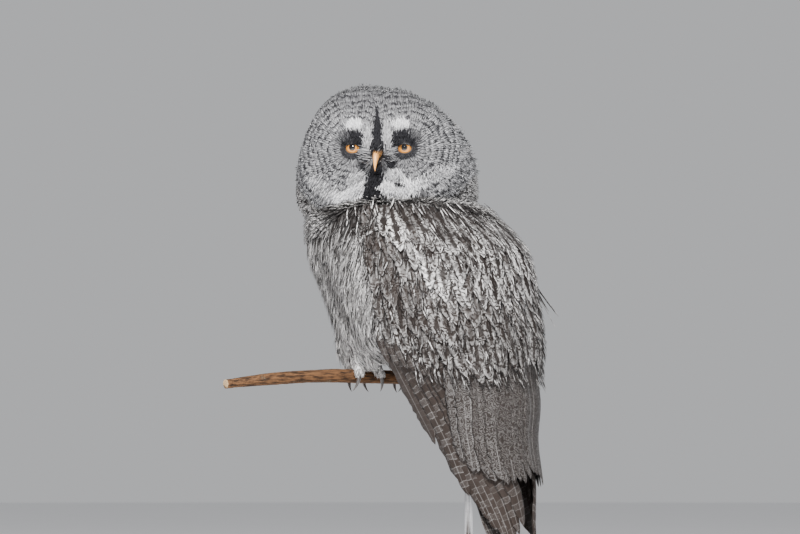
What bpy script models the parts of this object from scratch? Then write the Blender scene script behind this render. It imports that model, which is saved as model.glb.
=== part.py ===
"""A great grey owl at rest on a cut perch, life size, on a plain display stand.

Lengths are in metres, +Z is up and the origin is the middle of the stand's underside. The owl's body
faces -Y, its left side is +X, and its head is turned round to its left. Places on the owl are measured
from PERCH_MIDDLE, where the axis of the perch crosses the middle of the bird.
"""

from math import atan2, cos, degrees, hypot, pi, radians, sin, sqrt
from random import Random

import bmesh
import bpy
import numpy as np
from mathutils import Vector

GAP = 0.0003
CUT_GAP = 0.0004  # a grown cutter's faces lie a little inside its moved corners

# Stand and perch
BASE_WIDTH, BASE_DEPTH, BASE_HEIGHT = 0.300, 0.230, 0.016
BASE_CORNER, BASE_BEVEL = 0.045, 0.003
ROD_RADIUS, COLLAR_RADIUS, COLLAR_HEIGHT = 0.005, 0.012, 0.008
PERCH_MIDDLE = Vector((0.035, -0.060, 0.275))
PERCH_TURN = radians(-23)  # from +X towards +Y
PERCH_RADIUS = 0.0085
PERCH_LEFT, PERCH_RIGHT = 0.236, 0.158
PERCH_BENDS_FROM = 0.08  # along the perch, towards its left end
PERCH_SAG, PERCH_SLOPE, PERCH_CURVE, PERCH_THINNING = 0.35, 0.03, 0.25, 1.9
PERCH_SWELL, PERCH_SWELLS = 0.0005, 47
ROD_FROM_MIDDLE = 0.131

# Outlines of the plumage, as rows of height, distance behind the perch, half width and half depth
TORSO = (
    (0.215, 0.006, 0.100, 0.108),
    (0.196, 0.012, 0.104, 0.118),
    (0.154, 0.032, 0.110, 0.133),
    (0.091, 0.054, 0.109, 0.126),
    (0.041, 0.066, 0.098, 0.117),
    (0.024, 0.084, 0.086, 0.090),
    (0.008, 0.102, 0.070, 0.056),
    (-0.025, 0.108, 0.052, 0.044),
    (-0.055, 0.112, 0.030, 0.028),
)
TORSO_TOP, TORSO_TIP = 0.168, (-0.068, 0.116)
FOLDED = (
    (0.222, 0.012, 0.110, 0.114),
    (0.204, 0.018, 0.116, 0.124),
    (0.154, 0.044, 0.127, 0.142),
    (0.091, 0.068, 0.128, 0.131),
    (0.041, 0.088, 0.120, 0.119),
    (0.000, 0.106, 0.104, 0.100),
    (-0.034, 0.122, 0.090, 0.088),
    (-0.084, 0.141, 0.074, 0.065),
    (-0.134, 0.158, 0.060, 0.055),
    (-0.165, 0.170, 0.050, 0.043),
    (-0.196, 0.182, 0.042, 0.031),
    (-0.230, 0.192, 0.034, 0.021),
)

# The wing's flesh: height, then how far round from the back its front and rear edges lie, in degrees
WING_EDGES = (
    (0.206, 72.0, 24.0),
    (0.190, 84.0, 9.0),
    (0.154, 94.0, 3.0),
    (0.091, 98.0, 2.0),
    (0.041, 101.0, 3.0),
    (0.000, 106.0, 7.0),
)
WING_SUNK = 0.004  # how far the flesh lies under the feathers' outline
WING_THICK_FROM, WING_END_SUNK = 0.06, 0.002  # below this height the wing's tip thins and sinks in
WING_EDGE_SUNK, WING_EDGE_THINNING = 0.3, 0.7  # shares of the thickness at the front and rear edge
WING_THICKNESS, WING_END_THICKNESS = 0.026, 0.009

# Rows of feathers on a folded wing. Each value runs from the wing's front edge over its middle to its
# rear edge: how many, where their roots and tips lie as heights and degrees round from the back, how wide
# half a feather is and how far out its tip lies from the outline. Then how far out the roots lie, how
# steeply a feather's front edge stands
# over the feather before it, and how many points cross a feather.
PRIMARIES = (8, (0.046, 0.036, 0.022), (104, 88, 66), (-0.088, -0.196, -0.185), (124, 86, 26))
PRIMARY_COVERTS = (3, (0.080, 0.072, 0.064), (97, 88, 78), (0.012, 0.002, -0.008), (110, 96, 82))
SECONDARIES = (7, (0.040, 0.048, 0.056), (57, 34, 10), (-0.112, -0.134, -0.130), (92, 56, 20))
GREATER_COVERTS = (7, (0.088, 0.072, 0.086), (90, 50, 7), (0.034, 0.000, 0.018), (96, 54, 8.5))
MEDIAN_COVERTS = (6, (0.136, 0.116, 0.130), (89, 50, 7), (0.084, 0.048, 0.070), (93, 51, 7))
SCAPULARS = (6, (0.180, 0.172, 0.168), (62, 36, 7), (0.116, 0.078, 0.098), (68, 38, 6.5))
FEATHER_ROWS = (
    (PRIMARIES, (0.0130, 0.0160, 0.0165), (-0.0005, -0.0046, -0.0087), -0.0090, 0.22, 3),
    (PRIMARY_COVERTS, (0.0100, 0.0115, 0.0120), (-0.0010, -0.0022, -0.0030), -0.0066, 0.13, 2),
    (SECONDARIES, (0.0160, 0.0175, 0.0165), (-0.0014, -0.0014, -0.0014), -0.0080, 0.14, 3),
    (GREATER_COVERTS, (0.0140, 0.0165, 0.0140), (0.0006, 0.0006, 0.0006), -0.0062, 0.13, 2),
    (MEDIAN_COVERTS, (0.0145, 0.0180, 0.0140), (0.0012, 0.0012, 0.0012), -0.0062, 0.13, 2),
    (SCAPULARS, (0.0155, 0.0165, 0.0130), (0.0024, 0.0024, 0.0024), -0.0062, 0.13, 2),
)
LOOSE_SCAPULAR = ((0.126, 33.0), (0.070, 29.0), 0.0085, (-0.0066, 0.0205))  # on the right wing
VANE_THICKNESS, VANE_TIP_THICKNESS = 0.0009, 0.0006
VANE_ROOT, VANE_SWELL = 0.5, 1.1  # width at the root, and how fast it grows from there
VANE_ROUND_FROM, VANE_ROUNDNESS = 0.70, 0.93  # where the tip starts to narrow, and how far it does
LONG_SHARES = (0.0, 0.36, 0.70, 0.90, 1.0)  # shares of a feather's length, closer at its round tip
SHORT_SHARES = (0.0, 0.50, 0.86, 1.0)
UNEVEN = 0.0025  # how far a feather's tip may lie from its row

# Tail: root and tip as height and distance behind the perch
TAIL_ROOT, TAIL_TIP = (0.030, 0.090), (-0.240, 0.193)
TAIL_PAIRS = 6
TAIL_ROOT_APART, TAIL_TIP_APART = 0.0012, 0.0042  # between the middles of neighbouring tail feathers
TAIL_FEATHER_HALF, TAIL_LAYER, TAIL_CORE_HALF = 0.0145, 0.0014, 0.015
TAIL_CORE_END, TAIL_CORE_THICKNESS, TAIL_MIDDLE_GAP = -0.096, 0.012, 0.0006
TAIL_CORE_NARROWING, TAIL_CORE_THINNING = 0.05, 0.08  # at each of its steps downwards
TAIL_FEATHERS_FROM = 0.14  # share of the tail's length where its feathers leave the rump
TAIL_SHORTER, TAIL_ARCH = 0.012, 0.10  # what each pair lacks in length, and how steeply the tail falls aside

# Head, from its widest level
HEAD_TURN, HEAD_ROLL = radians(111), radians(-1.0)
HEAD_MIDDLE = Vector((0.0010, 0.0020, 0.229))
HEAD_HALF_WIDTH, HEAD_UP, HEAD_DOWN = 0.114, 0.133, 0.066
HEAD_SQUARENESS, NAPE_WIDENING = 2.12, 0.05
CROWN_FORWARD, CROWN_ASIDE = 0.012, 0.020
HEAD_FRONT, HEAD_BACK = 0.086, 0.100
FACE_FLATNESS = 0.7
EYE_APART, EYE_UP, EYE_RADIUS, EYE_FORWARD = 0.065, 0.0505, 0.0120, 0.061
LID_THICKNESS, LID_HALF_WIDTH, LID_HALF_HEIGHT = 0.0022, 0.0082, 0.0068
DISC_RADIUS, DISC_DEPTH, RIM_HEIGHT, RIM_WIDTH = 0.069, 0.011, 0.004, 0.008
NECK_BOTTOM, NECK_TOP, NECK_SLOPE = TORSO_TOP + GAP, 0.206, 0.012
NECK_OUT, NECK_ROUND = 0.003, 0.010

# Legs and feet
FOOT_APART = 0.070
LEG_FOOT = 0.0135  # height of the flat where the leg stands on the foot
LEG_BACK = 0.014  # how far behind the foot the rows of LEG are measured from
LEG = (
    (0.085, 0.012, 0.036, 0.046),
    (0.060, 0.002, 0.036, 0.044),
    (0.038, -0.010, 0.030, 0.038),
    (0.024, -0.013, 0.025, 0.032),
    (LEG_FOOT, -0.014, 0.019, 0.024),
)
ANKLE = ((LEG_FOOT - GAP, 0.0150), (0.0105, 0.0155), (0.0080, 0.0120))  # heights and half widths
TOE_RADIUS, TOE_REACH, TOE_STEPS = 0.0066, radians(96), 4
TOE_SUNK, TOE_TAPER = 0.0006, 0.05  # into the perch's room, and what a toe loses at each step
FRONT_SPREAD, REAR_SPREAD = 0.0070, 0.0115
CLAW_RADIUS, CLAW_LENGTH, CLAW_CURVE = 0.0028, 0.022, 0.021
# The cutter that makes a foot flat on top
ROOF_CORNERS, ROOF_HEIGHT = ((-0.05, -0.05), (0.05, -0.05), (0.05, 0.05), (-0.05, 0.05)), 0.03

# Bill, in the head's own directions
BILL_ROOT_FORWARD, BILL_ROOT_UP = 0.070, 0.046
BILL_HALF_WIDTH, BILL_HALF_HEIGHT = 0.0058, 0.0085
BILL_CURVE, BILL_TURN = 0.023, radians(100)
LOWER_BILL_FORWARD, LOWER_BILL_UP = 0.070, 0.0275
LOWER_BILL_LENGTH, LOWER_BILL_DROP, LOWER_BILL_BEND = 0.017, 0.002, 0.003
LOWER_BILL_HALF_WIDTH, LOWER_BILL_HALF_HEIGHT = 0.0042, 0.0036
NOSTRIL_RADIUS, NOSTRIL_TURN = 0.0014, radians(24)

# Locks of the face, in the head's own directions: how many on each side, where the first and the last
# start and end as (outwards, up), and how wide half a lock is and how far its tip stands off the face
FACE_LOCKS = (
    (5, ((0.006, 0.054), (0.017, 0.066)), ((0.013, 0.090), (0.048, 0.076)), 0.0032, 0.0040),
    (2, ((0.008, 0.042), (0.008, 0.033)), ((0.022, 0.042), (0.020, 0.022)), 0.0024, 0.0040),
    (5, ((0.006, 0.026), (0.018, 0.027)), ((0.010, -0.012), (0.043, 0.008)), 0.0038, 0.0055),
    (2, ((0.0030, 0.016), (0.008, 0.014)), ((0.0035, -0.020), (0.014, -0.024)), 0.0026, 0.0045),
    (5, ((0.022, -0.006), (0.090, 0.030)), ((0.026, -0.024), (0.104, 0.014)), 0.0070, 0.0030),
)
LOCK_THICKNESS, LOCK_SUNK = 0.0016, 0.0022


def clear_scene():
    for old in list(bpy.data.objects):
        bpy.data.objects.remove(old)


def finish_of(name, colour, roughness, metallic=0.0):
    """A plain material with the colour of one of the owl's parts."""
    made = bpy.data.materials.new(name)
    made.use_nodes = True
    shader = made.node_tree.nodes["Principled BSDF"]
    shader.inputs["Base Color"].default_value = (*colour, 1.0)
    shader.inputs["Roughness"].default_value = roughness
    shader.inputs["Metallic"].default_value = metallic
    return made


def through(rows, at):
    """Values at heights `at` on a smooth curve through rows of (height, value, ...) from the top down."""
    table = np.array(rows, float)[::-1]
    x, y = table[:, 0], table[:, 1:]
    step = np.diff(x)
    slope = np.diff(y, axis=0) / step[:, None]
    before, after = slope[:-1], slope[1:]
    same_way = before * after > 0
    total = np.where(same_way, before + after, 1.0)
    tangent = np.zeros_like(y)
    # The harmonic mean of two slopes keeps the curve from swinging past its rows.
    tangent[1:-1] = np.where(same_way, 2 * before * after / total, 0.0)
    tangent[0], tangent[-1] = slope[0], slope[-1]
    at = np.asarray(at, float)
    k = np.clip(np.searchsorted(x, at) - 1, 0, len(step) - 1)
    h = step[k][..., None]
    t = ((at - x[k]) / step[k])[..., None]
    return (
        y[k] * (1 + 2 * t) * (1 - t) ** 2
        + tangent[k] * h * t * (1 - t) ** 2
        + y[k + 1] * t**2 * (3 - 2 * t)
        - tangent[k + 1] * h * t**2 * (1 - t)
    )


def round_body(table, height, turn, out=0.0):
    """A point `out` beyond an outline table, `turn` degrees round from the back towards the left."""
    behind, half_width, half_depth = through(table, height)
    angle = radians(turn)
    return Vector(
        (
            (half_width + out) * sin(angle),
            behind + (half_depth + out) * cos(angle),
            height,
        )
    )


def solid(name, points, faces, finish, smooth=True):
    """A named object from points measured from the perch's middle. Its faces are turned to point outwards."""
    mesh = bpy.data.meshes.new(name)
    mesh.from_pydata([Vector(p) + PERCH_MIDDLE for p in points], [], faces)
    shape = bmesh.new()
    shape.from_mesh(mesh)
    bmesh.ops.recalc_face_normals(shape, faces=shape.faces)
    shape.to_mesh(mesh)
    shape.free()
    if smooth:
        mesh.shade_smooth()
    mesh.materials.append(finish)
    made = bpy.data.objects.new(name, mesh)
    bpy.context.scene.collection.objects.link(made)
    return made


def loft(name, rings, finish, first_tip=None, last_tip=None):
    """A closed solid through rings of equally many points, with a point or a flat fan at each end."""
    count = len(rings[0])
    points = [p for ring in rings for p in ring]
    faces = []
    for row in range(len(rings) - 1):
        for i in range(count):
            j = (i + 1) % count
            low, high = row * count, (row + 1) * count
            faces.append((low + i, low + j, high + j, high + i))
    for ring, tip, start in (
        (rings[0], first_tip, 0),
        (rings[-1], last_tip, (len(rings) - 1) * count),
    ):
        middle = tip if tip is not None else sum((Vector(p) for p in ring), Vector()) / count
        points.append(middle)
        hub = len(points) - 1
        faces += [(hub, start + i, start + (i + 1) % count) for i in range(count)]
    return solid(name, points, faces, finish)


def sheet_faces(rows, columns, offset, flip):
    """Triangles of a grid of points, cut along the same diagonal whichever way they face."""
    faces = []
    for i in range(rows - 1):
        for j in range(columns - 1):
            a = offset + i * columns + j
            b, c, d = a + 1, a + columns + 1, a + columns
            pair = ((a, b, c), (a, c, d))
            faces += [tuple(reversed(t)) for t in pair] if flip else list(pair)
    return faces


def two_sided(outer, inner):
    """Points and triangles of a closed sheet between two grids of points of the same size."""
    rows, columns = len(outer), len(outer[0])
    points = [p for row in outer for p in row] + [p for row in inner for p in row]
    under = rows * columns
    faces = sheet_faces(rows, columns, 0, False) + sheet_faces(rows, columns, under, True)
    rim = [(0, j) for j in range(columns)]
    rim += [(i, columns - 1) for i in range(1, rows)]
    rim += [(rows - 1, j) for j in range(columns - 2, -1, -1)]
    rim += [(i, 0) for i in range(rows - 2, 0, -1)]
    edge = [i * columns + j for i, j in rim]
    for k, a in enumerate(edge):
        b = edge[(k + 1) % len(edge)]
        faces += [(a, under + a, under + b), (a, under + b, b)]
    return points, faces


def keep_largest(target):
    """Keeps only the largest of a mesh's loose surfaces, as triangles."""
    shape = bmesh.new()
    shape.from_mesh(target.data)
    left, groups = set(shape.faces), []
    while left:
        group, edge = set(), [left.pop()]
        while edge:
            face = edge.pop()
            group.add(face)
            for side in face.edges:
                for other in side.link_faces:
                    if other in left:
                        left.discard(other)
                        edge.append(other)
        groups.append(group)
    groups.sort(key=lambda group: sum(face.calc_area() for face in group))
    loose = [face for group in groups[:-1] for face in group]
    bmesh.ops.delete(shape, geom=loose, context="FACES")
    bmesh.ops.remove_doubles(shape, verts=shape.verts, dist=2e-6)
    bmesh.ops.triangulate(shape, faces=shape.faces)
    shape.to_mesh(target.data)
    shape.free()


def combine(target, others, operation):
    """Joins the others to the target, or cuts them from it, and removes them."""
    pieces = bpy.data.collections.new("pieces")
    bpy.context.scene.collection.children.link(pieces)
    for other in others:
        pieces.objects.link(other)
    change = target.modifiers.new("combine", "BOOLEAN")
    change.operation, change.solver = operation, "MANIFOLD"
    change.operand_type, change.collection = "COLLECTION", pieces
    graph = bpy.context.evaluated_depsgraph_get()
    made = bpy.data.meshes.new_from_object(target.evaluated_get(graph))
    target.modifiers.clear()
    target.data = made
    for other in others:
        bpy.data.objects.remove(other)
    bpy.data.collections.remove(pieces)
    keep_largest(target)


def grown(source, by=CUT_GAP):
    """A copy of an object with every corner moved outwards, to cut a neighbour clear of it."""
    made = source.copy()
    made.data = source.data.copy()
    made.name = source.name + "_cutter"
    bpy.context.scene.collection.objects.link(made)
    normals = [v.normal.copy() for v in made.data.vertices]
    for vertex, normal in zip(made.data.vertices, normals):
        vertex.co += normal * by
    return made


def ball(name, middle, radius, finish, segments=14, rings=8):
    """A ball of a given radius round a place on the owl."""
    bands = []
    for i in range(1, rings):
        polar = pi * i / rings
        bands.append(
            [
                middle
                + radius
                * Vector(
                    (
                        sin(polar) * cos(2 * pi * j / segments),
                        sin(polar) * sin(2 * pi * j / segments),
                        cos(polar),
                    )
                )
                for j in range(segments)
            ]
        )
    up = Vector((0, 0, radius))
    return loft(name, bands, finish, middle + up, middle - up)


def tube(name, path, radii, finish, sides=10, point_at_end=False):
    """A closed tube along a path. Each radius is (across, along the bend), and the end may be a point."""
    rings = []
    path = [Vector(p) for p in path]
    last = len(path) - 1
    reference = (path[-1] - path[0]).cross(path[last // 2] - path[0])
    if reference.length < 1e-9:
        reference = (path[-1] - path[0]).orthogonal()
    reference.normalize()
    for i, point in enumerate(path):
        ahead = (path[min(i + 1, last)] - path[max(i - 1, 0)]).normalized()
        up = ahead.cross(reference).normalized()
        across, along = radii[i]
        rings.append(
            [
                point
                + reference * across * cos(2 * pi * k / sides)
                + up * along * sin(2 * pi * k / sides)
                for k in range(sides)
            ]
        )
    if point_at_end:
        return loft(name, rings[:-1], finish, None, path[-1])
    return loft(name, rings, finish)


# Directions of the head and of the perch
FACE = Vector((sin(HEAD_TURN), -cos(HEAD_TURN), 0.0))
UP = Vector((0.0, 0.0, 1.0))
LEVEL_LEFT = Vector((cos(HEAD_TURN), sin(HEAD_TURN), 0.0))
FACE_LEFT = LEVEL_LEFT * cos(HEAD_ROLL) + UP * sin(HEAD_ROLL)
FACE_UP = UP * cos(HEAD_ROLL) - LEVEL_LEFT * sin(HEAD_ROLL)
ALONG_PERCH = Vector((cos(PERCH_TURN), sin(PERCH_TURN), 0.0))
OFF_PERCH = Vector((sin(PERCH_TURN), -cos(PERCH_TURN), 0.0))  # level, towards the owl's front


def on_head(left, forward, up):
    """A place given in the head's own directions."""
    return HEAD_MIDDLE + FACE_LEFT * left + FACE * forward + FACE_UP * up


def crown_shift(up):
    """How far the crown's middle lies to the owl's right and forward at a height."""
    high = max(0.0, up / HEAD_UP)
    return CROWN_ASIDE * high**3, CROWN_FORWARD * high**2


def face_point(left, up, out=0.0):
    """A point of the face at a place seen from straight ahead, `out` in front of its surface."""
    down_or_up = HEAD_UP if up > 0 else HEAD_DOWN
    aside, drawn = crown_shift(up)
    across, along = abs((left + aside) / HEAD_HALF_WIDTH), abs(up / down_or_up)
    off = across**HEAD_SQUARENESS + along**HEAD_SQUARENESS
    ahead = sqrt(max(0.0, 1 - off ** (2 / HEAD_SQUARENESS)))
    from_eye = min(hypot(left - s * EYE_APART / 2, up - EYE_UP) for s in (-1, 1))
    dish = DISC_DEPTH * max(0.0, 1 - (from_eye / DISC_RADIUS) ** 2)
    rim = RIM_HEIGHT * np.exp(-(((from_eye - DISC_RADIUS) / RIM_WIDTH) ** 2))
    fade = min(1.0, ahead / 0.25)
    forward = HEAD_FRONT * ahead**FACE_FLATNESS + fade * (rim - dish) + drawn
    return on_head(left, forward + out, up)


def head_surface(polar, round_face):
    """A point of the head, `polar` from straight ahead, `round_face` from the crown leftwards."""
    ahead = cos(polar)
    across, along = sin(round_face), cos(round_face)
    square = (abs(across) ** HEAD_SQUARENESS + abs(along) ** HEAD_SQUARENESS) ** (1 / HEAD_SQUARENESS)
    left = HEAD_HALF_WIDTH * sin(polar) * across / square
    up = (HEAD_UP if along > 0 else HEAD_DOWN) * sin(polar) * along / square
    aside, drawn = crown_shift(up)
    if ahead > 0:
        return face_point(left - aside, up)
    nape = 1 + NAPE_WIDENING * min(1.0, -2 * ahead) * (1 - max(0.0, up / HEAD_UP))
    return on_head(left * nape - aside, HEAD_BACK * ahead + drawn, up)


def face_locks(finish, chance):
    """Flat tapered locks: brows, lores, moustache, bib and the ruff's lower edge."""
    locks = []

    def between(first, last, share):
        return [a + share * (b - a) for a, b in zip(first, last)]

    for count, (first_root, last_root), (first_tip, last_tip), half_width, lift in FACE_LOCKS:
        for i in range(count):
            share = i / (count - 1)
            for side in (-1, 1):
                root = between(first_root, last_root, share)
                tip = [at + chance.uniform(-0.001, 0.001) for at in between(first_tip, last_tip, share)]
                run = hypot(tip[0] - root[0], tip[1] - root[1])
                square = ((tip[1] - root[1]) / run, -(tip[0] - root[0]) / run)
                outer, inner = [], []
                for along, wide in ((0.0, 0.7), (0.5, 1.0), (1.0, 0.2)):
                    place = between(root, tip, along)
                    out = -LOCK_SUNK + (LOCK_SUNK + lift) * along
                    thick = LOCK_THICKNESS * (1 - 0.6 * along)
                    over, under = [], []
                    for across in (-1, 1):
                        left = place[0] + across * wide * half_width * square[0]
                        up = place[1] + across * wide * half_width * square[1]
                        over.append(face_point(side * left, up, out))
                        under.append(face_point(side * left, up, out - thick))
                    outer.append(over)
                    inner.append(under)
                points, faces = two_sided(outer, inner)
                locks.append(solid("lock", points, faces, finish))
    return locks


def make_head(finish, chance):
    """The head with its two face discs and rims, eye sockets, lids and locks."""
    rows, columns = 18, 32
    rings = [
        [head_surface(pi * i / rows, 2 * pi * j / columns) for j in range(columns)]
        for i in range(1, rows)
    ]
    head = loft("head", rings, finish, head_surface(0.0, 0.0), head_surface(pi, 0.0))
    lids, sockets = [], []
    for side in (-1, 1):
        eye = on_head(side * EYE_APART / 2, EYE_FORWARD, EYE_UP)
        lids.append(ball("lid", eye, EYE_RADIUS + LID_THICKNESS, finish))
        sockets.append(ball("socket", eye, EYE_RADIUS + 2 * GAP, finish))
        rim = []
        for forward in (0.0, 0.030):
            rim.append(
                [
                    eye
                    + FACE * forward
                    + FACE_LEFT * LID_HALF_WIDTH * cos(2 * pi * k / 16)
                    + FACE_UP * LID_HALF_HEIGHT * sin(2 * pi * k / 16)
                    for k in range(16)
                ]
            )
        sockets.append(loft("lid_opening", rim, finish))
    combine(head, lids + face_locks(finish, chance), "UNION")
    combine(head, sockets, "DIFFERENCE")
    return head


def make_eyes(finish):
    """The two eyeballs in their sockets."""
    for side, name in ((1, "eye_left"), (-1, "eye_right")):
        eye = on_head(side * EYE_APART / 2, EYE_FORWARD, EYE_UP)
        ball(name, eye, EYE_RADIUS, finish)


def make_bill(head, finish):
    """The hooked upper bill and the small lower one, their roots cut from the face."""
    steps = 8
    path, radii = [], []
    for i in range(steps + 1):
        turn = BILL_TURN * i / steps
        path.append(
            on_head(
                0.0,
                BILL_ROOT_FORWARD + BILL_CURVE * sin(turn),
                BILL_ROOT_UP - BILL_CURVE * (1 - cos(turn)),
            )
        )
        taper = (1 - (i / steps) ** 1.6) + 0.04
        radii.append((BILL_HALF_WIDTH * taper, BILL_HALF_HEIGHT * taper))
    upper = tube("bill_upper", path, radii, finish, 12, True)
    nostrils = []
    for side in (-1, 1):
        place = on_head(
            side * BILL_HALF_WIDTH,
            BILL_ROOT_FORWARD + BILL_CURVE * sin(NOSTRIL_TURN),
            BILL_ROOT_UP - BILL_CURVE * (1 - cos(NOSTRIL_TURN)),
        )
        nostrils.append(ball("nostril", place, NOSTRIL_RADIUS, finish, 8, 5))
    combine(upper, nostrils, "DIFFERENCE")
    path, radii = [], []
    for i in range(6):
        share = i / 5
        path.append(
            on_head(
                0.0,
                LOWER_BILL_FORWARD + LOWER_BILL_LENGTH * share,
                LOWER_BILL_UP - LOWER_BILL_DROP * share - LOWER_BILL_BEND * share**2,
            )
        )
        taper = 1.02 - share**1.5
        radii.append((LOWER_BILL_HALF_WIDTH * taper, LOWER_BILL_HALF_HEIGHT * taper))
    lower = tube("bill_lower", path, radii, finish, 10, True)
    combine(lower, [grown(upper)], "DIFFERENCE")
    combine(head, [grown(upper), grown(lower)], "DIFFERENCE")
    return upper, lower


def make_torso(finish):
    """Breast, belly, back and rump, flat on top where the neck stands."""
    heights = np.linspace(TORSO_TOP, TORSO[-1][0], 13)
    rings = [[round_body(TORSO, z, 15 * k) for k in range(24)] for z in heights]
    tip_height, tip_behind = TORSO_TIP
    return loft("torso", rings, finish, None, Vector((0.0, tip_behind, tip_height)))


def make_neck(head, finish):
    """The collar of plumage between the shoulders and the head, which sits down into it."""
    sides, rings = 24, []
    for share in (0.0, 0.35, 0.75, 1.0):
        ring = []
        for k in range(sides):
            turn = 360 * k / sides
            way = Vector((sin(radians(turn)), cos(radians(turn)), 0.0))
            top = NECK_TOP - NECK_SLOPE * way.dot(FACE)
            height = NECK_BOTTOM + share * (top - NECK_BOTTOM)
            ring.append(round_body(TORSO, height, turn, NECK_OUT - NECK_ROUND * share**3))
        rings.append(ring)
    neck = loft("neck", rings, finish)
    combine(neck, [grown(head)], "DIFFERENCE")
    return neck


def quadratic(values, share):
    """The curve that has three values at shares 0, 1/2 and 1."""
    first, middle, last = values
    bend = 2 * (first + last - 2 * middle)
    return first + (last - first - bend) * share + bend * share**2


def vane_width(share):
    """How wide a feather is at a share of its length, with 1 as its widest."""
    width = min(1.0, VANE_ROOT + VANE_SWELL * share)
    if share > VANE_ROUND_FROM:
        into_tip = (share - VANE_ROUND_FROM) / (1 - VANE_ROUND_FROM)
        width *= sqrt(max(0.0, 1 - VANE_ROUNDNESS * into_tip**2))
    return width


def folded_vane(root, tip, half_width, depths, tilt, points_across, side, finish):
    """A feather that lies along the folded wing's outline from root to tip, each (height, degrees round)."""
    outer, inner = [], []
    for share in SHORT_SHARES if points_across == 2 else LONG_SHARES:
        height = root[0] + share * (tip[0] - root[0])
        turn = root[1] + share * (tip[1] - root[1])
        middle = round_body(FOLDED, height, turn)
        step = 0.02
        ahead = round_body(FOLDED, height + step * (tip[0] - root[0]), turn + step * (tip[1] - root[1]))
        behind, across_body, deep = through(FOLDED, height)
        normal = Vector((middle.x / across_body**2, (middle.y - behind) / deep**2, 0.0)).normalized()
        sideways = normal.cross(ahead - middle).normalized()
        half = half_width * vane_width(share)
        out = depths[0] + (depths[1] - depths[0]) * share
        thick = VANE_THICKNESS + (VANE_TIP_THICKNESS - VANE_THICKNESS) * share
        over, under = [], []
        for across in np.linspace(-1, 1, points_across):
            p = middle + sideways * half * across
            behind, across_body, deep = through(FOLDED, p.z)
            turned = degrees(atan2(p.x / across_body, (p.y - behind) / deep))
            level = out - tilt * half * across
            for found, shift in ((over, thick / 2), (under, -thick / 2)):
                q = round_body(FOLDED, p.z, turned, level + shift)
                found.append(Vector((side * q.x, q.y, q.z)))
        outer.append(over)
        inner.append(under)
    points, faces = two_sided(outer, inner)
    return solid("feather", points, faces, finish)


def wing_feathers(side, finish, chance):
    """Every row of feathers on one folded wing, from the longest to the shoulder's."""
    feathers = []
    for row, halves, tip_depths, root_depth, tilt, points_across in FEATHER_ROWS:
        count, root_heights, root_turns, tip_heights, tip_turns = row
        for i in range(count):
            share = i / (count - 1)
            root = (quadratic(root_heights, share), quadratic(root_turns, share))
            tip_height = quadratic(tip_heights, share) + chance.uniform(-UNEVEN, UNEVEN)
            tip = (tip_height, quadratic(tip_turns, share))
            half = quadratic(halves, share)
            depths = (root_depth, quadratic(tip_depths, share))
            feathers.append(folded_vane(root, tip, half, depths, tilt, points_across, side, finish))
    return feathers


def make_wing(name, side, cutters, finish, chance):
    """A folded wing: its flesh over the flank, with rows of feathers that reach past it."""
    rows, columns = 11, 7
    top, bottom = WING_EDGES[0][0], WING_EDGES[-1][0]
    outer, inner = [], []
    for i in range(rows):
        height = top + (bottom - top) * i / (rows - 1)
        front, rear = through(WING_EDGES, height)
        end = min(1.0, max(0.0, 1 - height / WING_THICK_FROM))
        thick = WING_THICKNESS + end * (WING_END_THICKNESS - WING_THICKNESS)
        over, under = [], []
        for j in range(columns):
            share = j / (columns - 1)
            edge = (2 * share - 1) ** 4
            turn = front + (rear - front) * share
            level = -WING_SUNK - WING_END_SUNK * end - WING_EDGE_SUNK * thick * edge
            for found, out in ((over, level), (under, level - thick * (1 - WING_EDGE_THINNING * edge))):
                p = round_body(FOLDED, height, turn, out)
                found.append(Vector((side * p.x, p.y, p.z)))
        outer.append(over)
        inner.append(under)
    points, faces = two_sided(outer, inner)
    wing = solid(name, points, faces, finish)
    feathers = wing_feathers(side, finish, chance)
    if side < 0:
        root, tip, half, depths = LOOSE_SCAPULAR
        feathers.append(folded_vane(root, tip, half, depths, 0.0, 3, side, finish))
    combine(wing, feathers, "UNION")
    combine(wing, [grown(cutter) for cutter in cutters], "DIFFERENCE")
    return wing


def tail_line(share):
    """Height and distance behind the perch of the tail's middle at a share of its length."""
    height = TAIL_ROOT[0] + share * (TAIL_TIP[0] - TAIL_ROOT[0])
    return height, TAIL_ROOT[1] + share * (TAIL_TIP[1] - TAIL_ROOT[1])


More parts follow.
